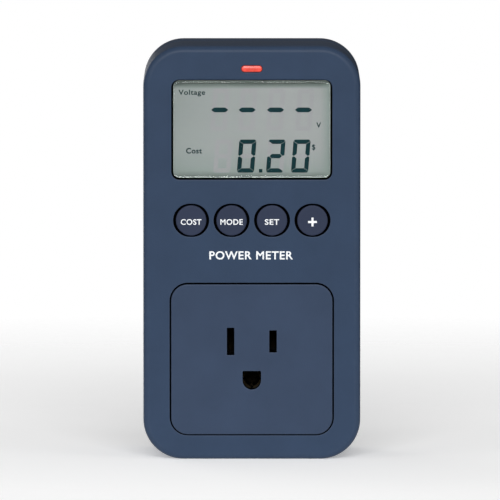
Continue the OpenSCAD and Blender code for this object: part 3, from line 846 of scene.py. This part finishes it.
class METER_OT_front_cover(bpy.types.Operator):
    """Makes the front cover with its openings, posts and bosses"""

    bl_idname = "meter.front_cover"
    bl_label = "Front Cover"
    bl_options = {"REGISTER", "UNDO"}

    def execute(self, context):
        edges = context.scene.meter_edges
        round_edge = edges.body / MM
        soft = edges.opening / MM
        bm = bmesh.new()
        outline = round_rect(0, MID_Z, BODY_W, BODY_H, CORNER_R, 24)
        profile = [(WALL, INNER_Y), (WALL, PART_Y), (soft + 0.1, PART_Y)]
        profile += quarter((soft, PART_Y), (0, PART_Y - soft), 4, depth_first=False)
        profile += quarter((0, FRONT_Y + round_edge), (round_edge, FRONT_Y), 10)
        profile.append((round_edge + FLAT, FRONT_Y))
        inside, face = sweep(bm, outline, profile)

        holes = [capsule(0, INDICATOR_Z, INDICATOR_W + 2 * INDICATOR_GAP,
                         INDICATOR_H + 2 * INDICATOR_GAP),
                 round_rect(0, LENS_MID_Z - LENS_REST, LENS_W + 2 * LENS_GAP[0],
                            LENS_H + 2 * LENS_GAP[1], LENS_R + LENS_GAP[0], 8),
                 round_rect(0, PANEL_MID_Z + PANEL_REST, PANEL_W + 2 * PANEL_GAP,
                            PANEL_H + 2 * (PANEL_GAP - PANEL_REST / 2), PANEL_R + PANEL_GAP, 12)]
        for key in KEYS:
            x, z = key_place(key)
            holes.append(capsule(x, z, KEY_HOLE_D + 2 * KEY_HOLE_SPREAD, KEY_HOLE_D, 28))
        ends = [opening(bm, hole, soft, FRONT_Y, INNER_Y) for hole in holes]
        fill(bm, face, *[first for first, last in ends])
        fill(bm, inside, *[last for first, last in ends])

        for x, z in SCREW_PLACES:
            post(bm, x, z, INNER_Y + FRONT_POST, PART_Y, SCREW_POST_D)
        for x, z in DISPLAY_POSTS:
            post(bm, x, z, INNER_Y - ROOT, INNER_Y + FRONT_POST, DISPLAY_POST_D)
        key_z = key_place(KEYS[0])[1]
        top = INNER_Y + KEY_RIB_DEPTH
        for side in (-1, 1):
            rib = round_rect(0, key_z + side * KEY_RIB_REACH, *KEY_RIB, 0.2, 2)
            solid(bm, rib, [(0, INNER_Y - ROOT), (0, top - 0.1), (0.1, top)])
        piece(bm, "front_cover_moulding", "meter", ("housing", "inner"), ["front_cover"])
        return {"FINISHED"}


class METER_OT_rear_cover(bpy.types.Operator):
    """Makes the rear cover with its groove, lip, screw wells, blade slots and label seat"""

    bl_idname = "meter.rear_cover"
    bl_label = "Rear Cover"
    bl_options = {"REGISTER", "UNDO"}

    def execute(self, context):
        edges = context.scene.meter_edges
        round_edge = edges.body / MM
        soft = edges.opening / MM
        bm = bmesh.new()
        outline = round_rect(0, MID_Z, BODY_W, BODY_H, CORNER_R, 24)
        join_y = PART_Y + GROOVE
        profile = [
            (WALL, FLOOR_Y), (WALL, PART_Y), (WALL + LIP, PART_Y), (WALL + LIP, REAR_LOW.y),
            (WALL + LIP_GAP, REAR_LOW.y), (WALL + LIP_GAP, PART_Y), (GROOVE, PART_Y), (GROOVE, join_y),
            (soft + 0.05, join_y)]
        profile += quarter((soft, join_y), (0, join_y + soft), 4, depth_first=False)
        profile += quarter((0, BACK_Y - round_edge), (round_edge, BACK_Y), 10)
        profile.append((round_edge + FLAT, BACK_Y))
        inside, face = sweep(bm, outline, profile)

        holes = [round_rect(SLOT_X, 0, BLADE_HOLE_W, LINE_HOLE_H, 0.2, 3),
                 round_rect(-SLOT_X, 0, BLADE_HOLE_W, NEUTRAL_HOLE_H, 0.2, 3),
                 circle(0, PIN_Z, PIN_HOLE_D)]
        holes += [circle(x, z, SCREW_WELL_D) for x, z in SCREW_PLACES]
        ends = [opening(bm, hole, soft, BACK_Y, FLOOR_Y) for hole in holes]
        low, high = box_mm("rating_label")
        play = 0.2
        seat = round_rect(0, (low.z + high.z) / 2, high.x - low.x + 2 * play, high.z - low.z + 2 * play,
                          LABEL_R + play, 8)
        seat_rim, seat_floor = opening(bm, seat, 0.12, BACK_Y, BACK_Y - LABEL_SEAT)
        fill(bm, seat_floor)
        fill(bm, face, seat_rim, *[first for first, last in ends])
        fill(bm, inside, *[last for first, last in ends])

        for x, z in SCREW_PLACES:
            self.screw_column(bm, x, z)
        for x, z in POWER_POSTS:
            post(bm, x, z, POWER_POST_Y, FLOOR_Y + ROOT, REAR_POST_D)
        for x, z in BLOCK_POSTS:
            post(bm, x, z, BLOCK_POST_Y, FLOOR_Y + ROOT, REAR_POST_D)
        piece(bm, "rear_cover_moulding", "meter", ("housing", "inner"), ["rear_cover"])
        return {"FINISHED"}

    def screw_column(self, bm, x, z):
        """Hollow column around a case screw, with the shoulder that its head bears on."""
        column = circle(x, z, SCREW_COLUMN_D)
        head_wall = (SCREW_COLUMN_D - SCREW_WELL_D) / 2
        shank_wall = (SCREW_COLUMN_D - SCREW_SHANK_HOLE_D) / 2
        first, last = sweep(bm, column, [
            (head_wall, FLOOR_Y), (head_wall, SCREW_HEAD_Y), (shank_wall, SCREW_HEAD_Y),
            (shank_wall, PART_Y), (0.2, PART_Y), (0, PART_Y + 0.2), (0, FLOOR_Y)])
        join(bm, first, last)


class METER_OT_socket_panel(bpy.types.Operator):
    """Makes the socket panel with its two slots and ground hole"""

    bl_idname = "meter.socket_panel"
    bl_label = "Socket Panel"
    bl_options = {"REGISTER", "UNDO"}

    def execute(self, context):
        soft = context.scene.meter_edges.opening / MM
        round_edge = 0.22
        bm = bmesh.new()
        outline = round_rect(0, PANEL_MID_Z, PANEL_W, PANEL_H, PANEL_R, 14)
        lit_y = PANEL_Y + round_edge + 0.05
        profile = [(0.3, FLANGE_BACK), (0.1 - PANEL_FLANGE, FLANGE_BACK),
                   (-PANEL_FLANGE, FLANGE_BACK - 0.1), (-PANEL_FLANGE, INNER_Y), (0, INNER_Y),
                   (0, lit_y)]
        # Flange, back and sides up to the lit depth in the near-black material: painted shade in the gap
        # around the panel.
        back, lit_ring = sweep(bm, outline, profile, material=PAINTED_SHADE)
        profile = quarter((0, PANEL_Y + round_edge), (round_edge, PANEL_Y), 5)
        profile.append((round_edge + FLAT, PANEL_Y))
        side, face = sweep(bm, outline, profile)
        join(bm, lit_ring, side)
        slots = [round_rect(SLOT_X, 0, SLOT_W, LINE_SLOT_H, 0.12, 3),
                 round_rect(-SLOT_X, 0, SLOT_W, NEUTRAL_SLOT_H, 0.12, 3), ground_hole()]
        ends = [opening(bm, slot, soft, PANEL_Y, FLANGE_BACK) for slot in slots]
        fill(bm, face, *[first for first, last in ends])
        fill(bm, back, *[last for first, last in ends])
        length, diameter = PANEL_POST
        for x in (-PANEL_POST_X, PANEL_POST_X):
            post(bm, x, PANEL_MID_Z, FLANGE_BACK - ROOT, FLANGE_BACK + length, diameter)
        piece(bm, "socket_panel_moulding", "meter", ("socket_panel", "inner"),
              ["socket_panel"])
        return {"FINISHED"}


class METER_OT_display_lens(bpy.types.Operator):
    """Makes the clear lens over the display, with its sides and shoulder in the near-black material,
    painted shade that darkens the gap around it
    """

    bl_idname = "meter.display_lens"
    bl_label = "Display Lens"
    bl_options = {"REGISTER", "UNDO"}

    def execute(self, context):
        round_edge = context.scene.meter_edges.lens / MM
        bm = bmesh.new()
        wide, high = LENS_FLANGE
        flange = round_rect(0, LENS_MID_Z, LENS_W + 2 * wide, LENS_H + 2 * high, LENS_R + high, 10)
        back, side = sweep(bm, flange, [(0.1 + FLAT, LENS_HIGH.y), (0.1, LENS_HIGH.y),
                                        (0, LENS_HIGH.y - 0.1)])
        # Shoulder and sides in the near-black material: painted shade.
        low_side, shoulder = sweep(bm, flange, [(0, INNER_Y + 0.1), (0.1, INNER_Y)], material=PAINTED_SHADE)
        join(bm, side, low_side, PAINTED_SHADE)
        outline = round_rect(0, LENS_MID_Z, LENS_W, LENS_H, LENS_R, 10)
        profile = quarter((0, LENS_LOW.y + round_edge), (round_edge, LENS_LOW.y), 7)
        profile.append((round_edge + FLAT, LENS_LOW.y))
        root, face = sweep(bm, outline, profile)
        side = ring(bm, outline, 0, INNER_Y)
        join(bm, side, root, PAINTED_SHADE)
        fill(bm, back)
        fill(bm, shoulder, side, material=PAINTED_SHADE)
        fill(bm, face)
        piece(bm, "display_lens_moulding", "meter", ("lens", "inner"), ["display_lens"])
        return {"FINISHED"}


def segment_shapes(w, h, t, gap):
    """The seven segments of a digit, as outlines from its lower left corner, keyed a to g."""
    half = h / 2
    g = gap / 2
    upright_end = t / 2
    shapes = {
        "a": [(t * 0.35, h), (w - t * 0.35, h), (w - g, h - t * 0.35), (w - t - g, h - t), (t + g, h - t),
              (g, h - t * 0.35)],
        "f": [(0, h - t * 0.35 - g), (t, h - t - g), (t, half + upright_end + g),
              (t * 0.4, half + g), (0, half + g + t * 0.2)],
        "g": [(t * 0.5 + g, half), (t + g, half + upright_end), (w - t - g, half + upright_end),
              (w - t * 0.5 - g, half), (w - t - g, half - upright_end), (t + g, half - upright_end)],
    }
    shapes["b"] = [(w - x, z) for x, z in reversed(shapes["f"])]
    for below, above in (("d", "a"), ("e", "f"), ("c", "b")):
        shapes[below] = [(x, h - z) for x, z in reversed(shapes[above])]
    return shapes


LIT = {"0": "abcdef", "2": "abged", "8": "abcdefg"}


def add_digit(bm, x, z, w, h, t, segments, y, thickness):
    """Adds some segments of a leaning digit whose lower left corner is at x and z."""
    lean = math.tan(DIGIT_LEAN)
    for name, points in segment_shapes(w, h, t, SEGMENT_GAP).items():
        if name in segments:
            leaning = [Vector((x + px + pz * lean, z + pz)) for px, pz in points]
            add_plate(bm, leaning, y, thickness)


class METER_OT_display(bpy.types.Operator):
    """Makes the display: its film, lit and unlit segments and legends"""

    bl_idname = "meter.display"
    bl_label = "Display"
    bl_options = {"REGISTER", "UNDO"}

    def execute(self, context):
        bm = bmesh.new()
        mid_z = (LCD_LOW.z + LCD_HIGH.z) / 2
        outline = round_rect(0, mid_z, LCD_HIGH.x - LCD_LOW.x, LCD_HIGH.z - LCD_LOW.z, 0.25, 3)
        chamfer = 0.15
        solid(bm, outline, [(chamfer, LCD_HIGH.y), (0, LCD_HIGH.y - chamfer), (0, LCD_LOW.y + chamfer),
                            (chamfer, LCD_LOW.y), (chamfer + FLAT, LCD_LOW.y)])
        piece(bm, "lcd_front_film", "meter", ("film",), ["lcd_front_glass"])
        face = LCD_LOW.y

        lit = bmesh.new()
        half, thick, point = 2.6, 0.7, 0.95
        dash = ((-half, 0), (point - half, -thick), (half - point, -thick), (half, 0),
                (half - point, thick), (point - half, thick))
        for x in DASH_XS:
            add_plate(lit, [Vector((x + px, DASH_Z + pz)) for px, pz in dash], face, SEGMENT_T)
        for digit, sizes in zip(READING, LOWER_DIGITS[1:]):
            add_digit(lit, *sizes, LIT[digit], face, SEGMENT_T)
        add_plate(lit, round_rect(*DECIMAL_POINT, DECIMAL_POINT_W, DECIMAL_POINT_W, 0.12, 2), face,
                  SEGMENT_T)
        for text, x, z, width, height, boldness in LEGENDS:
            add_word(lit, text, x, z, width, height, face, SEGMENT_T, boldness)
        piece(lit, "lcd_lit_segments", "meter", ("segments",))

        ghost = bmesh.new()
        for sizes in TOP_DIGITS:
            add_digit(ghost, *sizes, "abcdef", face, SEGMENT_T / 2)
        add_digit(ghost, *LOWER_DIGITS[0], LIT["8"], face, SEGMENT_T / 2)
        for digit, sizes in zip(READING, LOWER_DIGITS[1:]):
            unlit = [segment for segment in LIT["8"] if segment not in LIT[digit]]
            add_digit(ghost, *sizes, unlit, face, SEGMENT_T / 2)
        piece(ghost, "lcd_unlit_segments", "meter", ("ghosts",))
        return {"FINISHED"}


class METER_OT_indicator(bpy.types.Operator):
    """Makes the capsule-shaped indicator lens"""

    bl_idname = "meter.indicator"
    bl_label = "Indicator"
    bl_options = {"REGISTER", "UNDO"}

    def execute(self, context):
        bm = bmesh.new()
        outline = capsule(0, INDICATOR_Z, INDICATOR_W, INDICATOR_H, 16)
        edge = 0.3
        crown = 0.05
        profile = [(0.1, INNER_Y + ROOT)]
        profile += quarter((0, FRONT_Y + edge + crown), (edge, FRONT_Y + crown), 5)
        profile.append((edge + 0.35, FRONT_Y))
        solid(bm, outline, profile)
        flange = round_rect(0, INDICATOR_Z, *INDICATOR_FLANGE, 0.6, 5)
        solid(bm, flange, [(0.1, INNER_Y), (0, INNER_Y + 0.1), (0, INNER_Y + 0.7), (0.1, INNER_Y + 0.8)])
        stem = capsule(0, INDICATOR_Z, *INDICATOR_STEM, 12)
        solid(bm, stem, [(0, INNER_Y + ROOT), (0, INNER_Y + 3.2), (0.2, INNER_Y + 3.4)])
        piece(bm, "indicator_moulding", "meter", ("indicator",), ["indicator_lens"])
        return {"FINISHED"}


def key_place(key):
    """Middle of a key's face."""
    low, high = box_mm(key + "_key")
    return (low.x + high.x) / 2, (low.z + high.z) / 2


class METER_OT_keys(bpy.types.Operator):
    """Makes the four push buttons and the print on them"""

    bl_idname = "meter.keys"
    bl_label = "Push Buttons"
    bl_options = {"REGISTER", "UNDO"}

    def execute(self, context):
        round_edge = context.scene.meter_edges.key / MM
        for key in KEYS:
            self.cap(key, round_edge)
            x, z = key_place(key)
            word, width, height = KEY_WORDS[key]
            bm = bmesh.new()
            add_word(bm, word, x, z - KEY_WORD_DROP, width, height, KEY_FACE_Y)
            piece(bm, key + "_key_print", key + "_button", ("ink",))
        return {"FINISHED"}

    def cap(self, key, round_edge):
        """Key with its round face, the flange that holds it in and the stem that presses its switch."""
        x, z = key_place(key)
        low, high = box_mm(key + "_key")
        bm = bmesh.new()
        outline = circle(x, z, KEY_D, 72)
        hidden = ring(bm, outline, 0.2, KEY_FLANGE_Y + 0.5)
        profile = quarter((0, KEY_FACE_Y + round_edge), (round_edge, KEY_FACE_Y), 8)
        profile.append((round_edge + FLAT, KEY_FACE_Y))
        side, face = sweep(bm, outline, profile)
        # Side wall, flange and stem in the near-black material: painted shade in the gap around the key.
        foot = ring(bm, outline, 0, KEY_FLANGE_Y + 0.3)
        join(bm, hidden, foot, PAINTED_SHADE)
        join(bm, foot, side, PAINTED_SHADE)
        fill(bm, hidden)
        fill(bm, face)
        flange = round_rect(x, z, high.x - low.x, high.z - low.z, 2, 5)
        flange_back = KEY_FLANGE_Y + KEY_FLANGE_T
        solid(bm, flange, [(0.1, KEY_FLANGE_Y), (0, KEY_FLANGE_Y + 0.1), (0, flange_back - 0.1),
                           (0.1, flange_back)], material=PAINTED_SHADE)
        post(bm, x, z, KEY_FLANGE_Y + 0.5, high.y, KEY_STEM_D, PAINTED_SHADE)
        piece(bm, key + "_key_cap", key + "_button", ("keys", "inner"), [key + "_key"])


class METER_OT_caption(bpy.types.Operator):
    """Makes the caption printed above the outlet"""

    bl_idname = "meter.caption"
    bl_label = "Caption"
    bl_options = {"REGISTER", "UNDO"}

    def execute(self, context):
        bm = bmesh.new()
        add_word(bm, *CAPTION, FRONT_Y)
        piece(bm, "caption_print", "meter", ("ink",))
        return {"FINISHED"}


class METER_OT_plug(bpy.types.Operator):
    """Makes the two flat blades and the ground pin"""

    bl_idname = "meter.plug"
    bl_label = "Blades and Ground Pin"
    bl_options = {"REGISTER", "UNDO"}

    def execute(self, context):
        for node in ("line_blade", "neutral_blade"):
            self.blade(node)
        bm = bmesh.new()
        low, high = box_mm("ground_pin")
        soft = 0.15
        base = (COLLAR_D - PIN_BASE_D) / 2
        pin = (COLLAR_D - PIN_D) / 2
        radius = PIN_D / 2
        profile = [(soft, low.y), (0, low.y + soft), (0, SHOULDER_Y - soft), (soft, SHOULDER_Y),
                   (base, SHOULDER_Y), (base, -0.1), (base + 0.1, 0), (pin, 0)]
        profile += [(pin + radius * (1 - math.cos(t)), PIN_STRAIGHT + radius * math.sin(t))
                    for t in [math.radians(84) * i / 12 for i in range(13)]]
        profile.append((pin + radius - 0.1, high.y))
        solid(bm, circle(0, PIN_Z, COLLAR_D, 56), profile)
        piece(bm, "ground_pin_turned", "meter", ("brass",), ["ground_pin"])
        return {"FINISHED"}

    def blade(self, node):
        """Flat blade with bevelled corners at its tip, a wider base and a hole near the tip."""
        low, high = box_mm(node)
        base = (high.z - low.z) / 2
        half = base - BLADE_STEP
        tip = high.y
        bevelled = tip - BLADE_BEVEL
        chamfer = 0.16
        outline = [Vector(p) for p in (
            (low.y, -base), (SHOULDER_Y, -base), (SHOULDER_Y, -half), (bevelled, -half),
            (tip, BLADE_BEVEL - half), (tip, half - BLADE_BEVEL), (bevelled, half), (SHOULDER_Y, half),
            (SHOULDER_Y, base), (low.y, base))]
        hole = circle(TIP_HOLE_Y, 0, TIP_HOLE_D, 32)
        bm = bmesh.new()
        rise = [(chamfer + 0.1, low.x), (chamfer, low.x), (chamfer / 3, low.x + chamfer / 3),
                (0, low.x + chamfer)]
        fall = [(m, high.x + low.x - x) for m, x in reversed(rise)]
        first, last = sweep(bm, outline, rise + fall, edgewise)
        hole_first, hole_last = sweep(bm, hole, [(-m, x) for m, x in rise + fall], edgewise)
        fill(bm, first, hole_first)
        fill(bm, last, hole_last)
        piece(bm, node + "_stamped", "meter", ("brass",), [node])


class METER_OT_case_screws(bpy.types.Operator):
    """Makes the four case screws, with cross recesses and ridged shanks"""

    bl_idname = "meter.case_screws"
    bl_label = "Case Screws"
    bl_options = {"REGISTER", "UNDO"}

    def execute(self, context):
        bm = bmesh.new()
        radius = SCREW_HEAD_D / 2
        top = SCREW_HIGH.y
        shank = radius - 1.4
        dome = 0.9
        for x, z in SCREW_PLACES:
            profile = [(radius - 0.3, SCREW_LOW.y)]
            y = SCREW_LOW.y + 0.8
            while y < SCREW_HEAD_Y - 2 * SCREW_PITCH:
                profile += [(shank + 0.35, y), (shank, y + SCREW_PITCH * 0.4),
                            (shank + 0.35, y + SCREW_PITCH * 0.8)]
                y += SCREW_PITCH
            profile += [(shank + 0.2, SCREW_HEAD_Y), (0.1, SCREW_HEAD_Y), (0, SCREW_HEAD_Y + 0.1)]
            profile += quarter((0, top - dome), (dome, top), 6)
            profile.append((dome + 0.1, top))
            tail, face = sweep(bm, circle(x, z, SCREW_HEAD_D, 40), profile)
            fill(bm, tail)
            recess_rim, recess_floor = sweep(bm, self.cross(x, z), [(0, top), (0.12, top - 1.1)])
            fill(bm, face, recess_rim)
            fill(bm, recess_floor)
        piece(bm, "case_screws_driven", "meter", ("screw_steel",), ["case_screws"])
        return {"FINISHED"}

    def cross(self, x, z):
        """Outline of the cross recess."""
        arm, width = 1.45, 0.36
        points = []
        for turn in range(4):
            c, s = (1, 0, -1, 0)[turn], (0, 1, 0, -1)[turn]
            for px, pz in ((arm, -width), (arm, width), (width, width)):
                points.append(Vector((x + px * c - pz * s, z + px * s + pz * c)))
        return points


class METER_OT_rating_label(bpy.types.Operator):
    """Makes the blank rating label on the back, with a border and empty ruled lines"""

    bl_idname = "meter.rating_label"
    bl_label = "Rating Label"
    bl_options = {"REGISTER", "UNDO"}

    def execute(self, context):
        low, high = box_mm("rating_label")
        mid_z = (low.z + high.z) / 2
        w, h = high.x - low.x, high.z - low.z
        y = high.y - LABEL_SUNK
        outline = round_rect(0, mid_z, w, h, LABEL_R, 8)
        bm = bmesh.new()
        solid(bm, outline, [(0, low.y), (0, y - 0.03), (0.04, y), (0.08 + FLAT, y)])
        piece(bm, "rating_label_film", "meter", ("label",), ["rating_label"])
        rules = bmesh.new()
        border = round_rect(0, mid_z, w - BORDER_INSET, h - BORDER_INSET, 0.9, 6)
        first, last = sweep(rules, border, [(0, y), (0, y + INK), (0.25, y + INK), (0.25, y)])
        join(rules, first, last)
        for step in (-1.5, -0.5, 0.5, 1.5):
            line = round_rect(0, mid_z + RULE_PITCH * step, w - RULE_INSET, RULE_W, 0.05, 2)
            solid(rules, line, [(0, y), (0, y + INK)])
        piece(rules, "rating_label_rules", "meter", ("label_ink",))
        return {"FINISHED"}


class METER_OT_stage(bpy.types.Operator):
    """Makes the pale floor, the lights, the world and the camera"""

    bl_idname = "meter.stage"
    bl_label = "Stage"
    bl_options = {"REGISTER", "UNDO"}

    def execute(self, context):
        scene = context.scene
        self.floor(scene)
        self.world(scene)
        self.lights(scene)
        self.camera(scene)
        return {"FINISHED"}

    def floor(self, scene):
        """Round pale floor, lit faintly from below, that fades out into the background."""
        bm = bmesh.new()
        level = COVER_LOW.z * MM
        rings = []
        turns = [math.radians(360) * i / 64 for i in range(64)]
        for radius in (0.1, 0.2, 0.35, 0.5, 0.7, 0.9):
            rings.append([bm.verts.new((radius * math.cos(t), radius * math.sin(t), level))
                          for t in turns])
        for a, b in zip(rings, rings[1:]):
            join(bm, a, b)
        bm.faces.new(rings[0])
        mesh = bpy.data.meshes.new("floor")
        bm.to_mesh(mesh)
        bm.free()
        floor = bpy.data.objects.new("floor", mesh)
        scene.collection.objects.link(floor)
        material = blank("pale_floor")
        place = add(material, "ShaderNodeTexCoord").outputs["Object"]
        length = add(material, "ShaderNodeVectorMath", {0: place}, operation="LENGTH").outputs["Value"]
        fade = spread_out(material, length, 1, 0, 0.06, 0.45)
        cloud = noise(material, place, 40, 3)
        tint = blend_colours(material, cloud, (0.93, 0.93, 0.93, 1), (0.96, 0.96, 0.96, 1))
        connect(material, shader(material), {
            "Base Color": tint, "Roughness": 0.9, "Alpha": fade, "Specular IOR Level": 0.1,
            "Emission Color": (1, 1, 1, 1), "Emission Strength": 0.3})
        mesh.materials.append(material)

    def world(self, scene):
        """White background, with studio light from above that is dim near the horizon."""
        world = bpy.data.worlds.new("studio")
        world.use_nodes = True
        scene.world = world
        nodes = world.node_tree.nodes
        links = world.node_tree.links
        direction = nodes.new("ShaderNodeTexCoord")
        parts = nodes.new("ShaderNodeSeparateXYZ")
        links.new(direction.outputs["Generated"], parts.inputs["Vector"])
        dim = nodes.new("ShaderNodeMapRange")
        for key, value in (("From Min", 0.05), ("From Max", 0.6), ("To Min", 0.05), ("To Max", 0.22)):
            dim.inputs[key].default_value = value
        links.new(parts.outputs["Z"], dim.inputs["Value"])
        lit = nodes["Background"]
        lit.inputs["Color"].default_value = (1, 1, 1, 1)
        links.new(dim.outputs["Result"], lit.inputs["Strength"])
        seen = nodes.new("ShaderNodeBackground")
        seen.inputs["Color"].default_value = (1, 1, 1, 1)
        path = nodes.new("ShaderNodeLightPath")
        mix = nodes.new("ShaderNodeMixShader")
        links.new(path.outputs["Is Camera Ray"], mix.inputs["Fac"])
        links.new(lit.outputs["Background"], mix.inputs[1])
        links.new(seen.outputs["Background"], mix.inputs[2])
        links.new(mix.outputs["Shader"], nodes["World Output"].inputs["Surface"])

    def lights(self, scene):
        """Soft box above the camera, an upright one on each side and a weak one behind."""
        settings = scene.meter_stage
        aim = Vector((0, FRONT_Y, MID_Z)) * MM
        boxes = [("front_box", (0, -1.45, 0.55), 1.0, 0.6, settings.key_power),
                 ("left_box", (-1.1, -0.75, 0.25), 0.35, 1.0, settings.side_power),
                 ("right_box", (1.1, -0.75, 0.25), 0.35, 1.0, settings.side_power),
                 ("back_box", (-0.9, 1.1, 0.2), 0.8, 0.6, settings.back_power)]
        for name, place, width, height, power in boxes:
            data = bpy.data.lights.new(name, "AREA")
            data.shape = "RECTANGLE"
            data.size = width
            data.size_y = height
            data.energy = power
            light = bpy.data.objects.new(name, data)
            scene.collection.objects.link(light)
            light.location = place
            light.rotation_euler = (aim - Vector(place)).to_track_quat("-Z", "Y").to_euler()
            light.visible_camera = False

    def camera(self, scene):
        """Camera in front, a little above, with a long lens."""
        settings = scene.meter_stage
        data = bpy.data.cameras.new("camera")
        data.lens = settings.lens
        data.sensor_width = 36
        camera = bpy.data.objects.new("camera", data)
        scene.collection.objects.link(camera)
        aim = Vector((VIEW_X, FRONT_Y, VIEW_Z)) * MM
        distance = settings.width * data.lens / data.sensor_width
        tilt = settings.elevation
        camera.location = aim + Vector((0, -math.cos(tilt), math.sin(tilt))) * distance
        camera.rotation_euler = (math.radians(90) - tilt, 0, 0)
        data.clip_start = 0.05
        data.clip_end = 20
        scene.camera = camera
        scene.view_settings.view_transform = "Standard"


class METER_PT_panel(bpy.types.Panel):
    """Lists the steps and their settings"""

    bl_label = "Power Meter"
    bl_idname = "METER_PT_panel"
    bl_space_type = "VIEW_3D"
    bl_region_type = "UI"
    bl_category = "Power Meter"

    def draw(self, context):
        layout = self.layout
        for step in STEPS:
            layout.operator(step.bl_idname)
        for settings in (context.scene.meter_colours, context.scene.meter_edges,
                         context.scene.meter_stage):
            column = layout.box().column()
            for key in settings.__annotations__:
                column.prop(settings, key)


STEPS = (METER_OT_stage, METER_OT_materials, METER_OT_front_cover, METER_OT_rear_cover,
         METER_OT_socket_panel, METER_OT_display_lens, METER_OT_display, METER_OT_indicator,
         METER_OT_keys, METER_OT_caption, METER_OT_plug, METER_OT_case_screws, METER_OT_rating_label)
SETTINGS = (MeterColours, MeterEdges, MeterStage)
CLASSES = SETTINGS + STEPS + (METER_PT_panel,)


def register():
    for cls in CLASSES:
        bpy.utils.register_class(cls)
    bpy.types.Scene.meter_colours = PointerProperty(type=MeterColours)
    bpy.types.Scene.meter_edges = PointerProperty(type=MeterEdges)
    bpy.types.Scene.meter_stage = PointerProperty(type=MeterStage)


def unregister():
    del bpy.types.Scene.meter_stage
    del bpy.types.Scene.meter_edges
    del bpy.types.Scene.meter_colours
    for cls in reversed(CLASSES):
        bpy.utils.unregister_class(cls)


def main():
    """Makes everything in order."""
    register()
    for step in STEPS:
        group, name = step.bl_idname.split(".")
        getattr(getattr(bpy.ops, group), name)()


if __name__ == "__main__":
    main()
